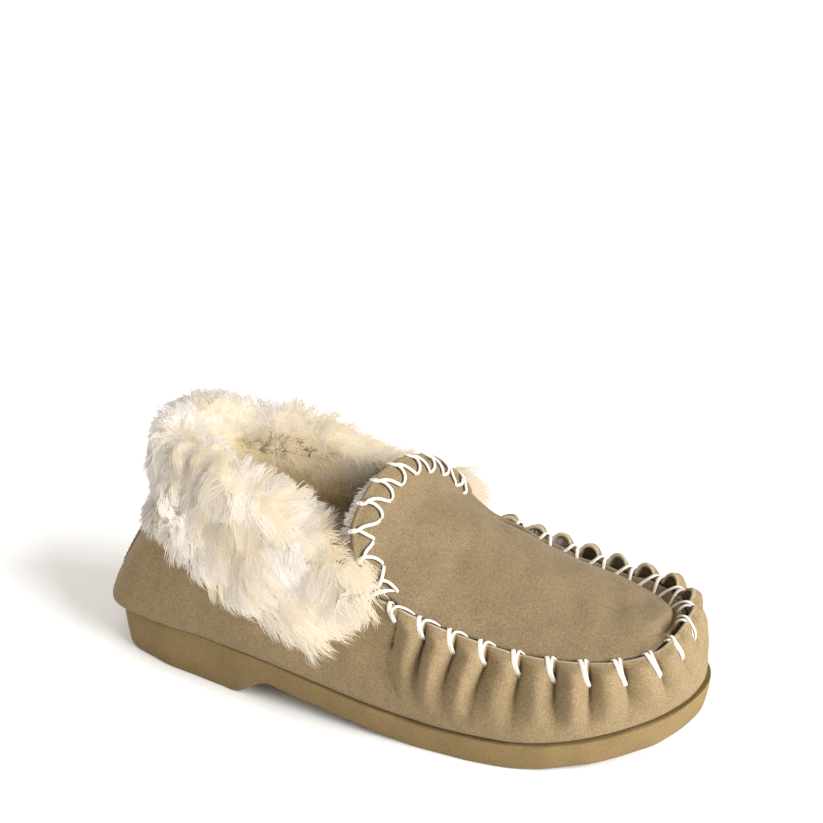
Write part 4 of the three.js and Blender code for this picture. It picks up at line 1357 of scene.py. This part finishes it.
def strand_mesh(name, paths, radius, shade, facing, slot, hold):
    """Tapering three-sided strands. paths: (strands, steps, 3); the rest per strand.

    Each strand is shaded mostly like the wool's whole surface there, as soft wool looks."""
    count, steps = paths.shape[:2]
    along = unit(paths[:, -1] - paths[:, 0])
    side = unit(np.cross(along, facing))
    up = np.cross(side, along)
    u = np.arange(steps - 1) / (steps - 1)
    profile = STRAND_ROOT * (1 - u) ** 0.55
    rings = []
    for k in range(3):
        angle = 2 * math.pi * k / 3 + math.pi / 6
        offset = side * math.cos(angle) * STRAND_WIDE + up * math.sin(angle) * STRAND_FLAT
        rings.append(paths[:, :-1] + offset[:, None] * (radius[:, None] * profile[None])[..., None])
    ring = np.stack(rings, 2).reshape(count, -1, 3)
    points = np.concatenate([ring, paths[:, -1:]], axis=1)
    per = points.shape[1]
    faces = []
    for r in range(steps - 2):
        for k in range(3):
            m = (k + 1) % 3
            faces.append([r * 3 + m, r * 3 + k, (r + 1) * 3 + k, (r + 1) * 3 + m])
    last = (steps - 2) * 3
    tris = [[last + (k + 1) % 3, last + k, per - 1] for k in range(3)] + [[0, 1, 2]]
    start = np.arange(count)[:, None, None] * per
    quads = (np.array(faces)[None] + start).reshape(-1, 4)
    tri = (np.array(tris)[None] + start).reshape(-1, 3)
    all_faces = quads.tolist() + tri.tolist()
    obj = new_object(name, points.reshape(-1, 3), all_faces, STRANDS, slot, outward=False)
    index = np.concatenate([np.repeat(shade, len(faces)), np.repeat(shade, len(tris))])
    obj.data.polygons.foreach_set("material_index", index.astype(np.int32))
    soft = unit(facing + up * 0.12)
    obj.data.normals_split_custom_set_from_vertices(np.repeat(soft, per, axis=0).tolist())
    obj.visible_shadow = False  # light passes between the fibres
    hold(obj)


class Fleece:
    """A wool surface to grow on: a grid of points and their normals, and the wool's lie,
    length and shade value (its own variation and painted light), where it grows, and the
    normals it is shaded with. t numbers the rows."""

    def __init__(self, t, body, normals, lie, length, tone=0.0, grows=True, shaded=None):
        self.t, self.body, self.normals, self.lie = t, body, normals, unit(lie)
        self.length = length + np.zeros(body.shape[:2])
        self.tone = tone + np.zeros(body.shape[:2])
        self.grows = grows & np.ones(body.shape[:2], bool)
        self.shaded = normals if shaded is None else shaded

    def scatter(self, rng, count, t_range):
        """Random places, evenly by area, as fractional grid positions."""
        rows, around = self.body.shape[:2]
        a = np.linalg.norm(np.gradient(self.body, axis=0), axis=-1)
        b = np.linalg.norm(np.gradient(self.body, axis=1), axis=-1)
        within = (self.t >= t_range[0]) & (self.t <= t_range[1])
        weight = a * b * within[:, None] * self.grows
        cell = rng.choice(rows * around, size=count, p=weight.ravel() / weight.sum())
        i = np.clip(cell // around + rng.uniform(-0.5, 0.5, count), 0, rows - 1.001)
        j = np.clip(cell % around + rng.uniform(-0.5, 0.5, count), 0, around - 1.001)
        return i, j

    def sample(self, g, i, j):
        n, m = g.shape[:2]
        i0, j0 = np.floor(i).astype(int), np.floor(j).astype(int)
        fi, fj = i - i0, j - j0
        i1, j1 = np.minimum(i0 + 1, n - 1), (j0 + 1) % m
        extra = (1,) * (g.ndim - 2)
        fi, fj = fi.reshape(fi.shape + extra), fj.reshape(fj.shape + extra)
        return lerp(lerp(g[i0, j0 % m], g[i0, j1], fj), lerp(g[i1, j0 % m], g[i1, j1], fj), fi)


STEPS = 4  # points along each strand


def nearest_of(points, others):
    tree = kdtree.KDTree(len(others))
    for i, p in enumerate(others):
        tree.insert(Vector(p), i)
    tree.balance()
    return np.array([tree.find(Vector(p))[1] for p in points])


def strand_paths(root, normal, direction, length):
    """Strands that rise from the felt and then lie over, sagging a little."""
    u = np.linspace(0, 1, STEPS)[None, :, None]
    rise = normal[:, None] * 0.8 * (u - u * u)
    reach = (rise + direction[:, None] * u) * length[:, None, None]
    return root[:, None] + reach - UP * 1.4 * u * u


KEY_LIGHT = np.array([0.88, -0.2, 0.43])
# painted light: strands facing away from the key light take paler shades and strands facing it take
# darker ones, making up for the light that real wool passes on into its shade
PAINTED_LIGHT_WEIGHT = 1.7


def grow(
    name, fleece, count, clumps, t_range, seed, pull_by=0.72, slot="cuff_wool", hold=ride_shoe,
):
    """Wool over part of a fleece: strands gathered into tufts that each lean their own way."""
    rng = np.random.default_rng(seed)
    ci, cj = fleece.scatter(rng, clumps, t_range)
    si, sj = fleece.scatter(rng, count, t_range)
    c_root = fleece.sample(fleece.body, ci, cj)
    root = fleece.sample(fleece.body, si, sj)
    owner = nearest_of(root, c_root)
    wander = np.stack([waves(c_root, 17, seed + k) for k in (1, 2, 3)], -1)
    ruffled = 0.32 + 0.14 * (np.abs(fleece.t[ci.astype(int)]) < 3.4)  # more behind the ankle
    own = rng.normal(size=(clumps, 3)) * ruffled[:, None]
    c_dir = unit(fleece.sample(fleece.lie, ci, cj) + wander * 0.4 + own)
    c_len = fleece.sample(fleece.length, ci, cj) * rng.uniform(0.7, 1.2, clumps)
    s_lie = fleece.sample(fleece.lie, si, sj) + wander[owner] * 0.35
    s_dir = unit(s_lie + rng.normal(size=(count, 3)) * 0.25)
    s_n = unit(fleece.sample(fleece.normals, si, sj))
    s_len = fleece.sample(fleece.length, si, sj) * rng.uniform(0.6, 1.1, count)
    tufts = strand_paths(c_root, fleece.sample(fleece.normals, ci, cj), c_dir, c_len)
    path = strand_paths(root - s_n * 0.8, s_n, s_dir, s_len)
    u = np.linspace(0, 1, STEPS)[None, :, None]
    pull = np.clip(pull_by * rng.uniform(0.6, 1.15, count), 0, 0.95)[:, None, None] * u
    path = lerp(path, tufts[owner], pull)
    path = path + rng.normal(size=(count, STEPS, 3)) * 0.2 * u
    loose = rng.random(count) < LOOSE_SHARE
    path[loose] += rng.normal(size=(loose.sum(), 1, 3)) * 1.6 * u
    shaded = unit(fleece.sample(fleece.shaded, si, sj))
    facing = shaded + 0.4 * c_dir[owner] + 0.15 * wander[owner] + np.array([0.2, -0.1, 0.4])
    facing = unit(facing)  # the normals the strands are shaded with
    tone = 0.7 * waves(c_root, 14, seed + 9)[owner] + rng.normal(size=clumps)[owner] * 0.25
    tone = tone + rng.normal(size=count) * 0.25 + fleece.sample(fleece.tone, si, sj)
    # painted light: paler shades where a strand faces away from the key light, darker ones where it
    # faces it
    tone = tone + PAINTED_LIGHT_WEIGHT * (0.45 - facing @ unit(KEY_LIGHT))
    shade = np.zeros(count, int)
    for _, least in list(STRAND_SHADES.values())[:-1]:
        shade += tone <= least
    radius = rng.uniform(*STRAND_RADIUS, count)
    strand_mesh(name, path, radius, shade, facing, slot, hold)


WOOL_FROM, WOOL_TO = 4.9, 13.7  # places round the cuff's section between which wool shows


def cuff_fleece(t, w, body, n):
    """Which way the cuff's wool lies and how long it is: short and felted at the heel,
    long and combed down and forward at the fronts of the flaps."""
    down = unit(np.roll(body, -1, axis=1) - np.roll(body, 1, axis=1))  # towards the hem
    toward = np.array([1.0, 0, 0])
    k = np.abs(t)
    outside = smooth(9.2, 10.6, w)[None, :, None]
    inside = (1 - smooth(7.6, 9.0, w))[None, :, None]
    crown = 1 - outside - inside
    front = smooth(2.2, 4.4, k)[:, None, None]
    tip = smooth(5.2, 5.85, k)[:, None, None]
    comb = down * lerp(0.7, 1.0, front) + toward * lerp(0.05, 0.7, front) - UP * 0.2
    lie = comb * outside + (down * 0.2 + toward * 0.6 * front + UP * 0.4) * crown
    low = (1 - smooth(5.6, 6.8, w))[None, :, None]  # the leg's foot, whose wool hangs into the shoe
    lie = lie + (UP * lerp(0.6, -0.8, low) + toward * 0.35 * front) * inside
    stand = n * (0.3 * outside + 0.5 * crown + 0.45 * inside)
    forward = toward * 0.6 - UP * 0.7 + n * 0.5
    lie = lerp(lie + stand, forward, tip * (1 - 0.2 * outside))
    length = lerp(7.5, 12.5, front[..., 0]) * (0.8 + 0.25 * outside[..., 0]) + 2.0 * tip[..., 0]
    into = -level(wall_normal(t, 0.9))[:, None]
    beside = (smooth(3.4, 4.4, t) * smooth(5.9, 5.4, t))[:, None, None]  # next to the tongue
    mouth = smooth(5.6, 6.6, w) * smooth(10.0, 8.8, w)
    lie = lie + into * beside * mouth[None, :, None] * 1.1
    length = length + (3.0 * beside * mouth[None, :, None])[..., 0]
    in_leg = (1 - smooth(6.4, 8.2, w))[None, :, None] * smooth(4.9, 4.4, k)[:, None, None]
    shaded = unit(lerp(n, into * 0.8 + UP * 0.5, in_leg))
    at_tip = smooth(4.9, 5.7, k)[:, None, None] * np.where(t > 0, 0.45, 0.8)[:, None, None]
    shaded = unit(lerp(shaded, UP * 0.9 + toward * 0.35 - into * 0.3, at_tip))
    felted = (w < WOOL_FROM) | (w > WOOL_TO)
    at_end = k >= np.where(t > 0, CUFF_END_NEAR, CUFF_END_FAR) - 0.01
    # painted light: paler wool at the heel, which faces away from the key light, and darker,
    # yellower wool on the leg's foot in the shade inside the shoe
    tone = 0.5 * smooth(3.4, 1.6, k)[:, None] - 1.4 * in_leg[..., 0]
    return Fleece(t, body, n, lie, length, tone, ~felted[None] | at_end[:, None], shaded)


def make_cuff():
    t, w, body, n = cuff_body()
    make_cuff_felt(body)
    fleece = cuff_fleece(t, w, body, n)
    grow("cuff_wool_near", fleece, 12500, 620, (1.6, 7), 61)
    grow("cuff_wool_heel", fleece, 8500, 520, (-1.6, 1.6), 71, 0.66)
    grow("cuff_wool_far", fleece, 11500, 640, (-7, -1.6), 81, 0.68)


def make_lining_wool():
    """Short wool on the part of the lining and footbed that shows through the mouth."""
    t = LINING_STATIONS
    body = lining_face(t, LINING_INNER, LINING_CHAMFER)[:, 1:]
    n = -wall_normal(t[:, None], 0.6) + np.zeros_like(body)
    lie = n * 0.8 + UP * 0.35 + np.array([0.3, 0, 0])
    # painted shade: the lining's wool is yellower and a little darker low down, deep in the mouth's
    # shade
    tone = lerp(-4.4, -2.0, np.linspace(0, 1, body.shape[1]))[None]  # yellower low down
    fleece = Fleece(t, body, n, lie, 5.5, tone)
    grow("lining_wool_outer_side", fleece, 8500, 680, (0, 9.5), 91, 0.6, "lining_wool")
    grow("lining_wool_inner_side", fleece, 11000, 800, (19.5, 29), 95, 0.6, "lining_wool")
    t, _, top = footbed_top()
    n = np.broadcast_to(UP, top.shape)
    # painted shade: the footbed's wool takes the yellow shades of the mouth's depth
    fleece = Fleece(t, top, n, n * 0.6 + np.array([0.5, 0, 0]), 4.0, -3.6)
    grow("footbed_wool", fleece, 6000, 500, (0, 8), 99, 0.6, "lining_wool")


def make_throat_wool():
    """Short wool on the wrap's inner face above the lining, seen when the tongue lifts."""
    v = np.linspace(0.7, 0.965, 10)[None]
    for name, low, high, seed in (
        ("throat_wool_outer_side", 4.5, 9.5, 111), ("throat_wool_inner_side", 19.5, 24.6, 115),
    ):
        t = np.linspace(low, high, 60)
        n = -wall_normal(t[:, None], v)
        body = wrap_skin(t[:, None], v) + n * (SUEDE + 0.3)
        lie = n * 0.75 - UP * 0.5 + np.array([-0.3, 0, 0])
        fleece = Fleece(t, body, n, lie, 5.5, -0.4)
        grow(name, fleece, 2600, 190, (low, high), seed, 0.6, "lining_wool")


def make_tongue_wool():
    """Short wool under the tongue, a little of it showing past the rim."""
    a, b = np.linspace(0.2, 0.97, 60), np.linspace(0.03, 0.97, 60)
    g = tongue_top(a[:, None], b[None])
    n = grid_normals(g)
    edge = np.minimum(np.minimum(b, 1 - b)[None], (1 - a)[:, None])
    under = lerp(SUEDE + 1.0, SUEDE + LINING - 0.8, smooth(0.03, 0.16, edge))
    body = g - n * col(under)
    outward = unit(g - g.mean(axis=(0, 1)))
    lie = -n * 0.7 + outward * col(lerp(0.9, 0.2, smooth(0.03, 0.2, edge)))
    # painted light: a paler tone for the wool that lies in the tongue's shade
    fleece = Fleece(a, body, -n, lie, 5.0, 0.8, shaded=unit(outward * 0.5 + UP * 0.6))
    grow("tongue_wool_pile", fleece, 4500, 380, (0, 1), 103, 0.6, "lining_wool", cross_throat)


# ---- build -------------------------------------------------------------------
make_sole()
for slot_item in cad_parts["insole_board"].material_slots:
    slot_item.material = FIBRE_BOARD
make_wrap()
plug_tree = make_plug()
make_footbed()
make_lining()
make_apron_lining()
make_tongue_lining()
make_back_seam()
make_seam_lace()
make_tongue_lace(plug_tree)
make_cuff()
make_lining_wool()
make_tongue_wool()
make_throat_wool()


# ---- floor, light and camera -------------------------------------------------
FLOOR_HALF = 4.0
SENSOR, LENS = 36.0, 93.97  # mm
CAMERA_PLACE = (0.25876, -0.69997, 0.5542)
CAMERA_ANGLES = (19.973, 29.638, 0.063)  # azimuth, elevation and roll in degrees


def make_floor():
    mesh = bpy.data.meshes.new("floor")
    corners = [(-1, -1), (1, -1), (1, 1), (-1, 1)]
    points = [(FLOOR_HALF * x, FLOOR_HALF * y, 0) for x, y in corners]
    mesh.from_pydata(points, [], [(0, 1, 2, 3)])
    floor = bpy.data.objects.new("floor", mesh)
    m, p = start_material("floor", 0.9, 0, 0.5, 0.1)
    p.inputs["Base Color"].default_value = (0.93, 0.93, 0.93, 1)
    mesh.materials.append(m)
    bpy.context.scene.collection.objects.link(floor)


def make_sun(name, towards, strength, spread, colour=(1, 1, 1)):
    data = bpy.data.lights.new(name, "SUN")
    data.energy = strength
    data.angle = math.radians(spread)
    data.color = colour
    light = bpy.data.objects.new(name, data)
    light.rotation_mode = "QUATERNION"
    light.rotation_quaternion = Vector(towards).to_track_quat("Z", "Y")
    bpy.context.scene.collection.objects.link(light)


def make_camera():
    data = bpy.data.cameras.new("camera")
    data.sensor_width = SENSOR
    data.lens = LENS
    cam = bpy.data.objects.new("camera", data)
    azimuth, elevation, roll = (math.radians(a) for a in CAMERA_ANGLES)
    back = Vector((
        math.sin(azimuth) * math.cos(elevation),
        -math.cos(azimuth) * math.cos(elevation),
        math.sin(elevation),
    ))
    right = Vector((math.cos(azimuth), math.sin(azimuth), 0))
    up = back.cross(right)
    turned_right = right * math.cos(roll) + up * math.sin(roll)
    turned_up = back.cross(turned_right)
    rotation = Matrix((turned_right, turned_up, back)).transposed()
    cam.matrix_world = Matrix.Translation(CAMERA_PLACE) @ rotation.to_4x4()
    bpy.context.scene.collection.objects.link(cam)
    bpy.context.scene.camera = cam


def make_world():
    world = bpy.data.worlds.new("studio")
    world.use_nodes = True
    sky = world.node_tree.nodes["Background"]
    sky.inputs["Color"].default_value = (1.0, 0.94, 0.83, 1)
    sky.inputs["Strength"].default_value = 0.43
    bpy.context.scene.world = world


make_floor()
make_world()
make_sun("key", KEY_LIGHT, 6.5, 40, (0.97, 0.98, 1.0))
make_sun("top fill", (-0.45, -0.05, 0.85), 1.3, 80)
make_camera()
bpy.context.scene.view_settings.view_transform = "Standard"
bpy.context.scene.view_settings.look = "None"
